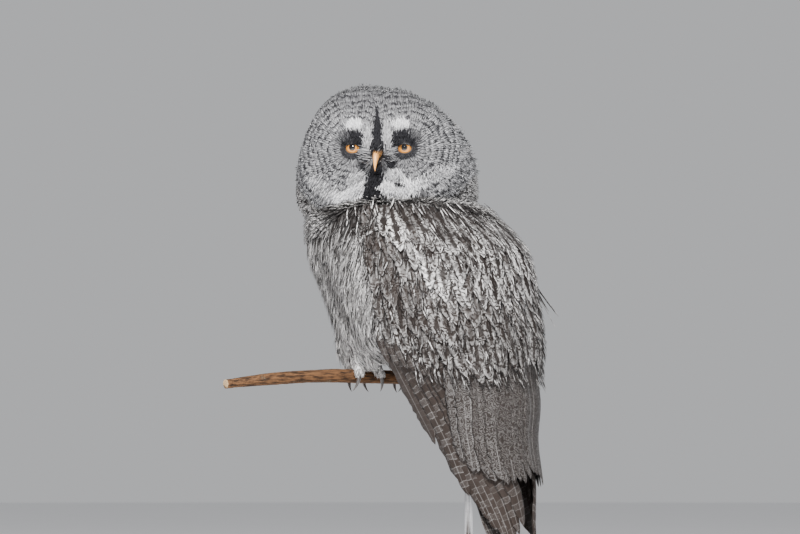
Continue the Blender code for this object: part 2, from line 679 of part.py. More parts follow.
def make_tail(torso, finish):
    """The closed tail: pairs of feathers, the middle pair on top, that leave a short stump under the rump."""
    end = (TAIL_ROOT[0] - TAIL_CORE_END) / (TAIL_ROOT[0] - TAIL_TIP[0])
    outer, inner = [], []
    for i in range(5):
        height, behind = tail_line(end * i / 4)
        half = TAIL_CORE_HALF * (1 - TAIL_CORE_NARROWING * i)
        thick = TAIL_CORE_THICKNESS * (1 - TAIL_CORE_THINNING * i)
        outer.append([Vector((half * across, behind, height)) for across in (-1, 0, 1)])
        inner.append([Vector((half * across, behind - thick, height)) for across in (-1, 0, 1)])
    points, faces = two_sided(outer, inner)
    tail = solid("tail", points, faces, finish)
    feathers = []
    for pair in range(TAIL_PAIRS):
        for side in (-1, 1):
            outer, inner = [], []
            for share in SHORT_SHARES:
                along = TAIL_FEATHERS_FROM + share * (1 - TAIL_FEATHERS_FROM - TAIL_SHORTER * pair)
                height, behind = tail_line(along)
                apart = TAIL_ROOT_APART + along * (TAIL_TIP_APART - TAIL_ROOT_APART)
                middle = side * apart * (pair + 0.6)
                half = TAIL_FEATHER_HALF * vane_width(share)
                layer = -TAIL_LAYER * (pair + 2.2 if pair else 1.2 - 0.5 * side)
                over, under = [], []
                for across in (-1, 1):
                    x = middle + side * half * across
                    if pair:
                        x = side * max(TAIL_MIDDLE_GAP, side * x)
                    level = behind + layer - TAIL_ARCH * abs(x)
                    over.append(Vector((x, level + VANE_THICKNESS / 2, height)))
                    under.append(Vector((x, level - VANE_THICKNESS / 2, height)))
                outer.append(over)
                inner.append(under)
            points, faces = two_sided(outer, inner)
            feathers.append(solid("feather", points, faces, finish))
    combine(tail, feathers, "UNION")
    combine(tail, [grown(torso)], "DIFFERENCE")
    return tail


def foot_place(side):
    return ALONG_PERCH * side * FOOT_APART / 2


def make_perch(finish):
    """A cut length of branch, a little bent and thinner towards the owl's left."""
    steps, sides = 18, 10
    rings = []
    for i in range(steps + 1):
        along = -PERCH_RIGHT + (PERCH_LEFT + PERCH_RIGHT) * i / steps
        beyond = max(0.0, along - PERCH_BENDS_FROM)
        sag = -PERCH_SAG * beyond**2 - PERCH_SLOPE * beyond
        swell = PERCH_SWELL * sin(PERCH_SWELLS * along) * min(1.0, 12 * beyond)
        radius = PERCH_RADIUS * (1 - PERCH_THINNING * beyond) + swell
        middle = ALONG_PERCH * along + UP * sag + OFF_PERCH * PERCH_CURVE * beyond**2
        rings.append(
            [
                middle
                + radius * (OFF_PERCH * cos(2 * pi * k / sides) + UP * sin(2 * pi * k / sides))
                for k in range(sides)
            ]
        )
    return loft("perch", rings, finish)


def make_leg(name, side, cutters, finish):
    """A feathered leg, standing flat on its foot."""
    place = foot_place(side)
    top, bottom = LEG[0][0], LEG[-1][0]
    rings = []
    for z in np.linspace(top, bottom, 8):
        behind, half_width, half_depth = through(LEG, z)
        middle = Vector((place.x, place.y + behind + LEG_BACK, z))
        rings.append(
            [
                middle + Vector((half_width * cos(2 * pi * k / 18), half_depth * sin(2 * pi * k / 18), 0.0))
                for k in range(18)
            ]
        )
    leg = loft(name, rings, finish)
    combine(leg, [grown(cutter) for cutter in cutters], "DIFFERENCE")
    return leg


def toe_path(place, shift, way, steps=TOE_STEPS):
    """Points of a toe bent over the perch, from its top towards the front (way 1) or the back (way -1)."""
    reach = PERCH_RADIUS + TOE_RADIUS - TOE_SUNK
    points = []
    for i in range(steps):
        turn = TOE_REACH * i / (steps - 1)
        splay = shift * (1 + 0.5 * i / (steps - 1))
        points.append(place + ALONG_PERCH * splay + reach * (UP * cos(turn) + OFF_PERCH * way * sin(turn)))
    return points


def make_foot(side, word, perch, leg_finish, claw_finish):
    """Four feathered toes, two over each side of the perch, each with its claw."""
    place = foot_place(side)
    ankle = loft(
        f"foot_{word}",
        [
            [
                place
                + Vector((half * cos(2 * pi * k / 12), half * sin(2 * pi * k / 12), z))
                for k in range(12)
            ]
            for z, half in ANKLE
        ],
        leg_finish,
    )
    toes, claws = [], []
    for number, (shift, way) in enumerate(
        ((-FRONT_SPREAD, 1), (FRONT_SPREAD, 1), (-REAR_SPREAD, -1), (REAR_SPREAD, -1)), 1
    ):
        path = toe_path(place, shift, way)
        radii = [(TOE_RADIUS * (1 - TOE_TAPER * i),) * 2 for i in range(TOE_STEPS)]
        toes.append(tube("toe", path, radii, leg_finish, 7))
        heading = (path[-1] - path[-2]).normalized()
        inward = -OFF_PERCH * way
        inward = (inward - heading * inward.dot(heading)).normalized()
        start = path[-1] + heading * GAP
        steps = 7
        claw_path, claw_radii = [], []
        for i in range(steps):
            turn = CLAW_LENGTH / CLAW_CURVE * i / (steps - 1)
            claw_path.append(
                start + heading * CLAW_CURVE * sin(turn) + inward * CLAW_CURVE * (1 - cos(turn))
            )
            radius = CLAW_RADIUS * (1 - (i / (steps - 1)) ** 1.3)
            claw_radii.append((radius, radius))
        claws.append(tube(f"claw_{word}_{number}", claw_path, claw_radii, claw_finish, 8, True))
    combine(ankle, toes, "UNION")
    roof = loft(
        "roof",
        [
            [place + Vector((x, y, z)) for x, y in ROOF_CORNERS]
            for z in (ANKLE[0][0], ANKLE[0][0] + ROOF_HEIGHT)
        ],
        leg_finish,
    )
    combine(ankle, [grown(perch), roof], "DIFFERENCE")
    for claw in claws:
        combine(claw, [grown(perch)], "DIFFERENCE")
    return ankle


def make_stand(perch, base_finish, rod_finish):
    """A flat base with round corners, one rod up to the perch and a collar round its foot."""
    corners = []
    for quarter, (sx, sy) in enumerate(((1, 1), (-1, 1), (-1, -1), (1, -1))):
        for k in range(7):
            angle = (quarter + k / 6) * pi / 2
            corners.append(
                Vector(
                    (
                        sx * (BASE_WIDTH / 2 - BASE_CORNER) + BASE_CORNER * cos(angle),
                        sy * (BASE_DEPTH / 2 - BASE_CORNER) + BASE_CORNER * sin(angle),
                        0.0,
                    )
                )
            )
    levels = (
        (0.0, 1.0),
        (BASE_HEIGHT - BASE_BEVEL, 1.0),
        (BASE_HEIGHT, 1 - 2 * BASE_BEVEL / BASE_DEPTH),
    )
    rings = [
        [Vector((p.x * shrink, p.y * shrink, z)) - PERCH_MIDDLE for p in corners]
        for z, shrink in levels
    ]
    base = loft("stand_base", rings, base_finish)
    for polygon in base.data.polygons:
        polygon.use_smooth = False
    foot = -ALONG_PERCH * ROD_FROM_MIDDLE
    floor_level = BASE_HEIGHT + GAP - PERCH_MIDDLE.z

    def column(name, radius, low, high, sides):
        turns = [2 * pi * k / sides for k in range(sides)]
        rings = [
            [Vector((foot.x + radius * cos(turn), foot.y + radius * sin(turn), z)) for turn in turns]
            for z in (low, high)
        ]
        return loft(name, rings, rod_finish)

    rod = column("stand_rod", ROD_RADIUS, floor_level, 0.0, 16)
    combine(rod, [grown(perch)], "DIFFERENCE")
    collar = column("stand_collar", COLLAR_RADIUS, floor_level, floor_level + COLLAR_HEIGHT, 20)
    combine(collar, [grown(rod)], "DIFFERENCE")


def main():
    clear_scene()
    plumage = finish_of("grey_plumage", (0.42, 0.41, 0.41), 0.85)
    dark_plumage = finish_of("dark_vanes", (0.16, 0.14, 0.13), 0.7)
    face = finish_of("face_plumage", (0.46, 0.46, 0.48), 0.9)
    bill = finish_of("bill_horn", (0.85, 0.50, 0.16), 0.35)
    eye = finish_of("eye", (0.80, 0.45, 0.06), 0.08)
    claw = finish_of("claw_horn", (0.10, 0.09, 0.09), 0.3)
    bark = finish_of("bark", (0.30, 0.17, 0.08), 0.8)
    base = finish_of("stand_wood", (0.05, 0.045, 0.04), 0.4)
    steel = finish_of("stand_steel", (0.55, 0.55, 0.56), 0.3, 1.0)

    head = make_head(face, Random(4))
    make_eyes(eye)
    make_bill(head, bill)
    torso = make_torso(plumage)
    combine(torso, [grown(head)], "DIFFERENCE")
    neck = make_neck(head, plumage)
    tail = make_tail(torso, dark_plumage)
    perch = make_perch(bark)
    for side, word in ((1, "left"), (-1, "right")):
        leg = make_leg(f"leg_{word}", side, [torso, perch], plumage)
        chance = Random(11 + side)
        make_wing(f"wing_{word}", side, [torso, neck, head, tail, leg], dark_plumage, chance)
        make_foot(side, word, perch, plumage, claw)
    make_stand(perch, base, steel)


main()
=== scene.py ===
"""A great grey owl on a cut perch and a plain display stand, dressed with its plumage, eyes, bill and claws.

Lengths are in metres and +Z is up. The owl's body faces -Y and its left side is +X. Places on the owl are
measured from PERCH_MIDDLE, where the axis of the perch crosses the middle of the bird, and are moved there
when a mesh is made.
"""

from math import cos, pi, radians, sin

import bmesh
import bpy
import numpy as np
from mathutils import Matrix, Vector
from mathutils.bvhtree import BVHTree


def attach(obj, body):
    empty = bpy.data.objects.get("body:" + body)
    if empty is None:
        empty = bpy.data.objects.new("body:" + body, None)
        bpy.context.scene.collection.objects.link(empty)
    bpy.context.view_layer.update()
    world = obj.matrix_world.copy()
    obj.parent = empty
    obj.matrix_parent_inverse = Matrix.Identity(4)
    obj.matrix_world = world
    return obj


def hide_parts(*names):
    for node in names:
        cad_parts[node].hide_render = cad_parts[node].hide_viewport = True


bl_info = {
    "name": "Great grey owl",
    "version": (1, 0, 0),
    "blender": (4, 5, 0),
    "location": "3D View > Sidebar > Owl",
    "description": "Builds a great grey owl on a perch, piece by piece",
    "category": "Add Mesh",
}

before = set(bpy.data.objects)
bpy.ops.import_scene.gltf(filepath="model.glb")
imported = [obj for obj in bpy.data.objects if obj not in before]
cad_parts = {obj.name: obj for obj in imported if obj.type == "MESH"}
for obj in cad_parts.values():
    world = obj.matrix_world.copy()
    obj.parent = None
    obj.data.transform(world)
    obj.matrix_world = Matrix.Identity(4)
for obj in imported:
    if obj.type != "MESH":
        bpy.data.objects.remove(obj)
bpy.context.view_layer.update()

# Sizes that the solids have too
PERCH_MIDDLE = np.array((0.035, -0.060, 0.275))
BASE_WIDTH, BASE_DEPTH, BASE_HEIGHT = 0.300, 0.230, 0.016
BASE_CORNER, BASE_BEVEL = 0.045, 0.003
ROD_RADIUS, COLLAR_RADIUS, COLLAR_HEIGHT = 0.005, 0.012, 0.008
PERCH_TURN = radians(-23)
PERCH_RADIUS = 0.0085
PERCH_LEFT, PERCH_RIGHT = 0.236, 0.158
PERCH_BENDS_FROM = 0.08  # along the perch, towards its left end
PERCH_SAG, PERCH_SLOPE, PERCH_CURVE, PERCH_THINNING = 0.35, 0.03, 0.25, 1.9
PERCH_SWELL, PERCH_SWELLS = 0.0005, 47
ROD_FROM_MIDDLE = 0.131
GAP = 0.0003

# Outlines of the plumage, as rows of height, distance behind the perch, half width and half depth
TORSO = (
    (0.215, 0.006, 0.100, 0.108),
    (0.196, 0.012, 0.104, 0.118),
    (0.154, 0.032, 0.110, 0.133),
    (0.091, 0.054, 0.109, 0.126),
    (0.041, 0.066, 0.098, 0.117),
    (0.024, 0.084, 0.086, 0.090),
    (0.008, 0.102, 0.070, 0.056),
    (-0.025, 0.108, 0.052, 0.044),
    (-0.055, 0.112, 0.030, 0.028),
)
FOLDED = (
    (0.222, 0.012, 0.110, 0.114),
    (0.204, 0.018, 0.116, 0.124),
    (0.154, 0.044, 0.127, 0.142),
    (0.091, 0.068, 0.128, 0.131),
    (0.041, 0.088, 0.120, 0.119),
    (0.000, 0.106, 0.104, 0.100),
    (-0.034, 0.122, 0.090, 0.088),
    (-0.084, 0.141, 0.074, 0.065),
    (-0.134, 0.158, 0.060, 0.055),
    (-0.165, 0.170, 0.050, 0.043),
    (-0.196, 0.182, 0.042, 0.031),
    (-0.230, 0.192, 0.034, 0.021),
)
LEG = (
    (0.085, 0.012, 0.036, 0.046),
    (0.060, 0.002, 0.036, 0.044),
    (0.038, -0.010, 0.030, 0.038),
    (0.024, -0.013, 0.025, 0.032),
    (0.0135, -0.014, 0.019, 0.024),
)
LEG_BACK = 0.014
FOOT_APART = 0.070
TOE_RADIUS, TOE_REACH = 0.0066, radians(96)
FRONT_SPREAD, REAR_SPREAD = 0.0070, 0.0115
CLAW_RADIUS, CLAW_LENGTH, CLAW_CURVE = 0.0028, 0.022, 0.021
TAIL_ROOT, TAIL_TIP = (0.030, 0.090), (-0.240, 0.193)

# Head, from its widest level
HEAD_TURN, HEAD_ROLL = radians(111), radians(-1.0)
HEAD_MIDDLE = np.array((0.0010, 0.0020, 0.229))
HEAD_HALF_WIDTH, HEAD_UP, HEAD_DOWN = 0.114, 0.133, 0.066
HEAD_SQUARENESS, NAPE_WIDENING = 2.12, 0.05
CROWN_FORWARD, CROWN_ASIDE = 0.012, 0.020
HEAD_FRONT, HEAD_BACK = 0.086, 0.100
FACE_FLATNESS = 0.7
EYE_APART, EYE_UP, EYE_RADIUS, EYE_FORWARD = 0.065, 0.0505, 0.0120, 0.061
DISC_RADIUS, DISC_DEPTH, RIM_HEIGHT, RIM_WIDTH = 0.069, 0.011, 0.004, 0.008
BILL_ROOT_FORWARD, BILL_ROOT_UP = 0.070, 0.046
BILL_HALF_WIDTH, BILL_HALF_HEIGHT = 0.0058, 0.0085
BILL_CURVE, BILL_TURN = 0.023, radians(100)
LOWER_BILL_FORWARD, LOWER_BILL_UP = 0.070, 0.0275

# Directions of the head and of the perch
UP = np.array((0.0, 0.0, 1.0))
FACE = np.array((sin(HEAD_TURN), -cos(HEAD_TURN), 0.0))
LEVEL_LEFT = np.array((cos(HEAD_TURN), sin(HEAD_TURN), 0.0))
FACE_LEFT = LEVEL_LEFT * cos(HEAD_ROLL) + UP * sin(HEAD_ROLL)
FACE_UP = UP * cos(HEAD_ROLL) - LEVEL_LEFT * sin(HEAD_ROLL)
ALONG_PERCH = np.array((cos(PERCH_TURN), sin(PERCH_TURN), 0.0))
OFF_PERCH = np.array((sin(PERCH_TURN), -cos(PERCH_TURN), 0.0))
NOWHERE = np.zeros(3)  # no way off PERCH_MIDDLE

BAKE_PATCH = 0.003  # width of a feather's patch on its bake map
RIDGE_HEIGHT, PERCH_SIDES, CLAW_SIDES = 0.0005, 56, 18
LOWER_BILL_LENGTH, LOWER_BILL_DROP, LOWER_BILL_BEND = 0.0145, 0.002, 0.003
LOWER_BILL_HALF_WIDTH, LOWER_BILL_HALF_HEIGHT = 0.0042, 0.0036
DISC_RING_APART = 0.0027  # between the rings of feathers round an eye
WING_PLUMES = 850  # loose barbs on each wing
TAIL_FROM, TAIL_HALF = 0.10, 0.0145  # share of its length where the tail's feathers show, half width of one
TAIL_SHORTER, TAIL_ARCH = 0.012, 0.10  # what each pair lacks in length, and how steeply the tail falls aside
FLOOR_RADIUS, AIM_ASIDE, AIM_UP = 14, 0.0175, 0.1375


# Shapes that follow the owl's outlines


def through(rows, at):
    """Values at heights `at` on a smooth curve through rows of (height, value, ...) from the top down."""
    table = np.array(rows, float)[::-1]
    x, y = table[:, 0], table[:, 1:]
    step = np.diff(x)
    slope = np.diff(y, axis=0) / step[:, None]
    before, after = slope[:-1], slope[1:]
    same_way = before * after > 0
    total = np.where(same_way, before + after, 1.0)
    tangent = np.zeros_like(y)
    tangent[1:-1] = np.where(same_way, 2 * before * after / total, 0.0)
    tangent[0], tangent[-1] = slope[0], slope[-1]
    at = np.asarray(at, float)
    k = np.clip(np.searchsorted(x, at) - 1, 0, len(step) - 1)
    h = step[k][..., None]
    t = ((at - x[k]) / step[k])[..., None]
    return (
        y[k] * (1 + 2 * t) * (1 - t) ** 2
        + tangent[k] * h * t * (1 - t) ** 2
        + y[k + 1] * t**2 * (3 - 2 * t)
        - tangent[k + 1] * h * t**2 * (1 - t)
    )


def on_outline(table, height, turn, out=0.0):
    """Points on an outline, `turn` degrees round from the back towards the left and `out` beyond it."""
    height, turn = np.asarray(height, float), np.radians(turn)
    behind, half_width, half_depth = np.moveaxis(through(table, height), -1, 0)
    x = (half_width + out) * np.sin(turn)
    y = behind + (half_depth + out) * np.cos(turn)
    return np.stack(np.broadcast_arrays(x, y, height), -1)


def turn_of(table, points):
    """How many degrees round an outline points lie."""
    behind, half_width, half_depth = np.moveaxis(through(table, points[..., 2]), -1, 0)
    return np.degrees(np.arctan2(points[..., 0] / half_width, (points[..., 1] - behind) / half_depth))


def onto_folded(points, out):
    """Moves points onto the folded wings' outline, `out` beyond it."""
    return on_outline(FOLDED, points[..., 2], turn_of(FOLDED, points), out)


def head_place(left, forward, up):
    left, forward, up = (np.asarray(v, float)[..., None] for v in (left, forward, up))
    return HEAD_MIDDLE + FACE_LEFT * left + FACE * forward + FACE_UP * up


def in_head(points):
    """How far left, forward and up points lie in the head's own directions."""
    from_middle = points - HEAD_MIDDLE
    return from_middle @ FACE_LEFT, from_middle @ FACE, from_middle @ FACE_UP


def crown_aside(up):
    """How far the crown's middle lies to the owl's right at a height."""
    return CROWN_ASIDE * np.maximum(0.0, up / HEAD_UP) ** 3


def crown_forward(up):
    """How far the crown is drawn forward at a height."""
    return CROWN_FORWARD * np.maximum(0.0, up / HEAD_UP) ** 2


def from_nearer_eye(left, up):
    return np.hypot(np.abs(left) - EYE_APART / 2, up - EYE_UP)


def towards_edge(left, up):
    """0 at the middle of the face and 1 on the head's outline."""
    across = np.abs((left + crown_aside(up)) / HEAD_HALF_WIDTH)
    along = np.abs(up / np.where(up > 0, HEAD_UP, HEAD_DOWN))
    return across**HEAD_SQUARENESS + along**HEAD_SQUARENESS


def face_place(left, up, out=0.0):
    """Points of the face at places seen from straight ahead, `out` in front of its surface."""
    left, up = np.asarray(left, float), np.asarray(up, float)
    ahead = np.sqrt(np.maximum(0.0, 1 - towards_edge(left, up) ** (2 / HEAD_SQUARENESS)))
    from_eye = from_nearer_eye(left, up)
    dish = DISC_DEPTH * np.maximum(0.0, 1 - (from_eye / DISC_RADIUS) ** 2)
    rim = RIM_HEIGHT * np.exp(-(((from_eye - DISC_RADIUS) / RIM_WIDTH) ** 2))
    fade = np.minimum(1.0, ahead / 0.25)
    forward = HEAD_FRONT * ahead**FACE_FLATNESS + fade * (rim - dish) + crown_forward(up)
    return head_place(left, forward + out, up)


def onto_face(points, out):
    """Moves points straight ahead or back onto the face, `out` in front of its surface."""
    left, _, up = in_head(points)
    return face_place(left, up, out)


def head_surface(polar, round_face):
    """Points of the head, `polar` from straight ahead and `round_face` from the crown leftwards."""
    ahead = np.cos(polar)
    across, along = np.sin(round_face), np.cos(round_face)
    power = HEAD_SQUARENESS
    square = (np.abs(across) ** power + np.abs(along) ** power) ** (1 / power)
    left = HEAD_HALF_WIDTH * np.sin(polar) * across / square
    up = np.where(along > 0, HEAD_UP, HEAD_DOWN) * np.sin(polar) * along / square
    nape = 1 + NAPE_WIDENING * np.minimum(1.0, -2 * ahead) * (1 - np.maximum(0.0, up / HEAD_UP))
    back = head_place(left * nape - crown_aside(up), HEAD_BACK * ahead + crown_forward(up), up)
    return np.where((ahead > 0)[..., None], face_place(left - crown_aside(up), up), back)


def unit(vectors):
    return vectors / np.maximum(np.linalg.norm(vectors, axis=-1, keepdims=True), 1e-9)


def quadratic(values, share):
    """The curve that has three values at shares 0, 1/2 and 1."""
    first, middle, last = values
    bend = 2 * (first + last - 2 * middle)
    return first + (last - first - bend) * share + bend * share**2


def smooth_step(value, low, high):
    """0 below low, 1 above high and smooth between, for numbers worked out here."""
    share = np.clip((value - low) / (high - low), 0.0, 1.0)
    return share * share * (3 - 2 * share)


# Meshes


def make_mesh(name, points, quads, triangles, material, attributes=None, bake=None):
    """A piece from points, four-sided and three-sided faces, values at its points and its bake map."""
    quads = np.asarray(quads, np.int32).reshape(-1, 4)
    triangles = np.asarray(triangles, np.int32).reshape(-1, 3)
    loops = np.concatenate([quads.ravel(), triangles.ravel()])
    starts = np.concatenate(
        [np.arange(len(quads)) * 4, len(quads) * 4 + np.arange(len(triangles)) * 3]
    ).astype(np.int32)
    mesh = bpy.data.meshes.new(name)
    mesh.vertices.add(len(points))
    mesh.vertices.foreach_set("co", (np.asarray(points) + PERCH_MIDDLE).astype(np.float32).ravel())
    mesh.loops.add(len(loops))
    mesh.loops.foreach_set("vertex_index", loops)
    mesh.polygons.add(len(starts))
    mesh.polygons.foreach_set("loop_start", starts)
    mesh.update(calc_edges=True)
    mesh.polygons.foreach_set("use_smooth", np.ones(len(starts), bool))
    for key, values in (attributes or {}).items():
        layer = mesh.attributes.new(key, "FLOAT_VECTOR", "POINT")
        layer.data.foreach_set("vector", np.asarray(values, np.float32).ravel())
    if bake is not None:
        layer = mesh.uv_layers.new(name="OFBake")
        layer.uv.foreach_set("vector", bake[loops].astype(np.float32).ravel())
    mesh.materials.append(material)
    made = bpy.data.objects.new(name, mesh)
    bpy.context.scene.collection.objects.link(made)
    return made


def keep(piece, slot, *nodes):
    """Lets a finished piece ride on the owl in place of the solids it stands for. The finish it takes is not
    used.
    """
    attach(piece, "root")
    if nodes:
        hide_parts(*nodes)


def ring_faces(rings, sides):
    """Four-sided faces between rings of equally many points."""
    i, k = np.meshgrid(np.arange(rings - 1), np.arange(sides), indexing="ij")
    after = (k + 1) % sides
    low, high = i * sides, (i + 1) * sides
    return np.stack([low + k, low + after, high + after, high + k], -1).reshape(-1, 4)


def loft_parts(rings):
    """Points and faces of a closed form through rings, an array of (ring, side, 3)."""
    rings = np.asarray(rings, float)
    count, sides = rings.shape[:2]
    points = np.concatenate([rings.reshape(-1, 3), rings[:1].mean(1), rings[-1:].mean(1)])
    k = np.arange(sides)
    after = (k + 1) % sides
    low, high = count * sides, (count - 1) * sides
    first = np.stack([np.full(sides, low), after, k], -1)
    last = np.stack([np.full(sides, low + 1), high + k, high + after], -1)
    return points, ring_faces(count, sides), np.concatenate([first, last])


def joined(parts):
    """Several (points, four-sided faces, three-sided faces) as one."""
    points, quads, triangles, total = [], [], [], 0
    for more_points, more_quads, more_triangles in parts:
        points.append(more_points)
        quads.append(more_quads + total)
        triangles.append(more_triangles + total)
        total += len(more_points)
    return np.concatenate(points), np.concatenate(quads), np.concatenate(triangles)


def closed_piece(name, parts, material):
    """A piece of one or more closed forms, with its faces turned outwards."""
    piece = make_mesh(name, *joined(parts), material)
    shape = bmesh.new()
    shape.from_mesh(piece.data)
    bmesh.ops.recalc_face_normals(shape, faces=shape.faces)
    shape.to_mesh(piece.data)
    shape.free()
    return piece


def applied(piece):
    """Turns a piece with modifiers into a plain mesh."""
    graph = bpy.context.evaluated_depsgraph_get()
    mesh = bpy.data.meshes.new_from_object(piece.evaluated_get(graph), depsgraph=graph)
    piece.modifiers.clear()
    piece.data = mesh
    return piece


def tube_rings(path, radii, sides, reference):
    """Rings of points round a path, from radii along the reference and across it."""
    path = np.asarray(path, float)
    ahead = unit(np.gradient(path, axis=0))
    reference = unit(np.asarray(reference, float))
    up = unit(np.cross(ahead, reference))
    turn = 2 * pi * np.arange(sides) / sides
    radii = np.asarray(radii, float)
    across = reference * radii[:, :1]
    along = up * radii[:, 1:]
    return (
        path[:, None]
        + across[:, None] * np.cos(turn)[None, :, None]
        + along[:, None] * np.sin(turn)[None, :, None]
    )


# Shader nodes written as sums


class Reading:
    """A value in a material that takes part in sums, so that a pattern reads as an expression."""

    def __init__(self, finish, socket):
        self.finish, self.socket = finish, socket

    def __add__(self, other):
        return self.finish.maths("ADD", self, other)

    def __sub__(self, other):
        return self.finish.maths("SUBTRACT", self, other)

    def __rsub__(self, other):
        return self.finish.maths("SUBTRACT", other, self)

    def __mul__(self, other):
        return self.finish.maths("MULTIPLY", self, other)

    def __truediv__(self, other):
        return self.finish.maths("DIVIDE", self, other)

    def __pow__(self, other):
        return self.finish.maths("POWER", self, other)

    __radd__, __rmul__ = __add__, __mul__


class Nodes:
    """A node tree that takes new nodes with their settings and sockets at once."""

    def node(self, kind, settings=None, **sockets):
        made = self.tree.nodes.new(kind)
        for key, value in (settings or {}).items():
            setattr(made, key, value)
        for key, value in sockets.items():
            self.feed(made.inputs[int(key[1:]) if key[1:].isdigit() else key.replace("_", " ")], value)
        return made

    def feed(self, socket, value):
        value = value.socket if isinstance(value, Reading) else value
        if isinstance(value, bpy.types.NodeSocket):
            self.tree.links.new(value, socket)
        else:
            socket.default_value = value


class Finish(Nodes):
    """A material with one Principled shader, and the few kinds of node that its patterns need."""

    def __init__(self, name, **constants):
        self.material = bpy.data.materials.new(name)
        self.material.use_nodes = True
        self.tree = self.material.node_tree
        self.shader = self.tree.nodes["Principled BSDF"]
        for socket, value in constants.items():
            self.shader.inputs[socket.replace("_", " ")].default_value = value
        self.place = self.node("ShaderNodeTexCoord").outputs["Object"]

    def maths(self, operation, *values):
        sockets = {f"i{k}": value for k, value in enumerate(values)}
        return Reading(self, self.node("ShaderNodeMath", {"operation": operation}, **sockets).outputs[0])

    def vector(self, operation, *values):
        sockets = {f"i{k}": value for k, value in enumerate(values)}
        made = self.node("ShaderNodeVectorMath", {"operation": operation}, **sockets)
        return made.outputs["Value" if operation in ("DOT_PRODUCT", "LENGTH", "DISTANCE") else "Vector"]

    def dot(self, vector, direction):
        return Reading(self, self.vector("DOT_PRODUCT", vector, tuple(direction)))

    def sine(self, value):
        return self.maths("SINE", value)

    def size_of(self, value):
        return self.maths("ABSOLUTE", value)

    def along(self, direction, start):
        """How far the object's own place lies along a direction from a start."""
        return self.dot(self.place, direction) - float((start + PERCH_MIDDLE) @ direction)

    def on_head(self):
        """How far off the head's middle and how far up a place lies, in the head's own directions."""
        return self.size_of(self.along(FACE_LEFT, HEAD_MIDDLE)), self.along(FACE_UP, HEAD_MIDDLE)

    def away(self, aside, above):
        return self.maths("SQRT", aside * aside + above * above)

    def between(self, share, colour, dark, light):
        """A colour between darker and lighter shades of one colour."""
        shades = [tuple(min(1.0, times * part) for part in colour) for times in (dark, light)]
        return self.mix(share, *shades)

    def step(self, value, low, high):
        """0 below low, 1 above high and smooth between."""
        smooth = {"interpolation_type": "SMOOTHSTEP"}
        made = self.node("ShaderNodeMapRange", smooth, Value=value, From_Min=low, From_Max=high)
        return Reading(self, made.outputs["Result"])

    def noise(self, scale, detail=2.0, stretch=None, where=None, roughness=0.5):
        """Noise from 0 to 1 about 0.5, on the object's own place or on another vector."""
        where = self.place if where is None else where
        if stretch is not None:
            where = self.vector("MULTIPLY", where, stretch)
        made = self.node(
            "ShaderNodeTexNoise", None, Vector=where, Scale=scale, Detail=detail, Roughness=roughness,
        )
        return Reading(self, made.outputs["Fac"])

    def mix(self, share, first, second):
        """A colour between two, as colours or as sockets."""
        made = self.node("ShaderNodeMix", {"data_type": "RGBA"}, i0=share)
        for index, colour in ((6, first), (7, second)):
            self.feed(
                made.inputs[index], colour if isinstance(colour, bpy.types.NodeSocket) else (*colour, 1.0),
            )
        return made.outputs[2]

    def own(self, key):
        """The three parts of a value kept at the piece's points."""
        vector = self.node("ShaderNodeAttribute", {"attribute_name": key}).outputs["Vector"]
        parts = self.node("ShaderNodeSeparateXYZ", None, Vector=vector)
        return [Reading(self, socket) for socket in parts.outputs]

    def bump(self, height, strength, distance):
        made = self.node("ShaderNodeBump", None, Strength=strength, Distance=distance, Height=height)
        self.tree.links.new(made.outputs["Normal"], self.shader.inputs["Normal"])

    def paint(self, colour, roughness=None):
        self.feed(self.shader.inputs["Base Color"], colour)
        if roughness is not None:
            self.feed(self.shader.inputs["Roughness"], roughness)
        return self.material


# Settings


def colour_setting(name, description, default):
    return bpy.props.FloatVectorProperty(
        name=name, description=description, default=default, subtype="COLOR", min=0.0, max=1.0
    )


def length_setting(name, description, default):
    return bpy.props.FloatProperty(
        name=name, description=description, default=default, subtype="DISTANCE", unit="LENGTH",
    )


class OwlColours(bpy.types.PropertyGroup):
    pale: colour_setting("Pale plumage", "Lightest grey of the feathers", (0.80, 0.785, 0.775))
    dark: colour_setting("Dark plumage", "Darkest bars and streaks of the feathers", (0.013, 0.012, 0.012))
    warm: colour_setting("Brown plumage", "Brown ground of wing and tail feathers", (0.028, 0.019, 0.015))
    face_pale: colour_setting(
        "Pale of the face", "Light grey between the rings of the face", (0.88, 0.88, 0.90),
    )
    face_dark: colour_setting("Dark of the face", "Rings and bristles of the face", (0.014, 0.014, 0.017))
    bill: colour_setting("Bill", "Horn of the bill", (0.78, 0.36, 0.09))
    iris: colour_setting("Iris", "Yellow of the eyes", (0.74, 0.31, 0.045))
    claw: colour_setting("Claws", "Horn of the claws", (0.045, 0.040, 0.038))
    bark: colour_setting("Bark", "Bark of the perch", (0.105, 0.050, 0.021))
    wood: colour_setting("Stand", "Stained wood of the stand", (0.060, 0.036, 0.022))
    steel: colour_setting("Rod", "Satin steel of the rod", (0.56, 0.56, 0.57))
    floor: colour_setting("Floor", "Paper under and behind the stand", (0.86, 0.86, 0.87))


class OwlCoat(bpy.types.PropertyGroup):
    coat_depth: length_setting("Coat depth", "How far the skin lies under the plumage", 0.0075)
    face_depth: length_setting("Face depth", "How far the skin lies under the feathers of the face", 0.0025)
    skin_voxel: length_setting("Skin detail", "Size of the cells the skin is joined from", 0.0028)
    disc_spacing: length_setting("Face feather spacing", "Between neighbouring feathers of the face", 0.0019)
    head_spacing: length_setting(
        "Head feather spacing", "Between neighbouring feathers of crown and nape", 0.0034,
    )
    body_spacing: length_setting(
        "Body feather spacing", "Between neighbouring feathers of breast and belly", 0.0050,
    )
    leg_spacing: length_setting("Leg feather spacing", "Between neighbouring tufts of legs and toes", 0.0029)


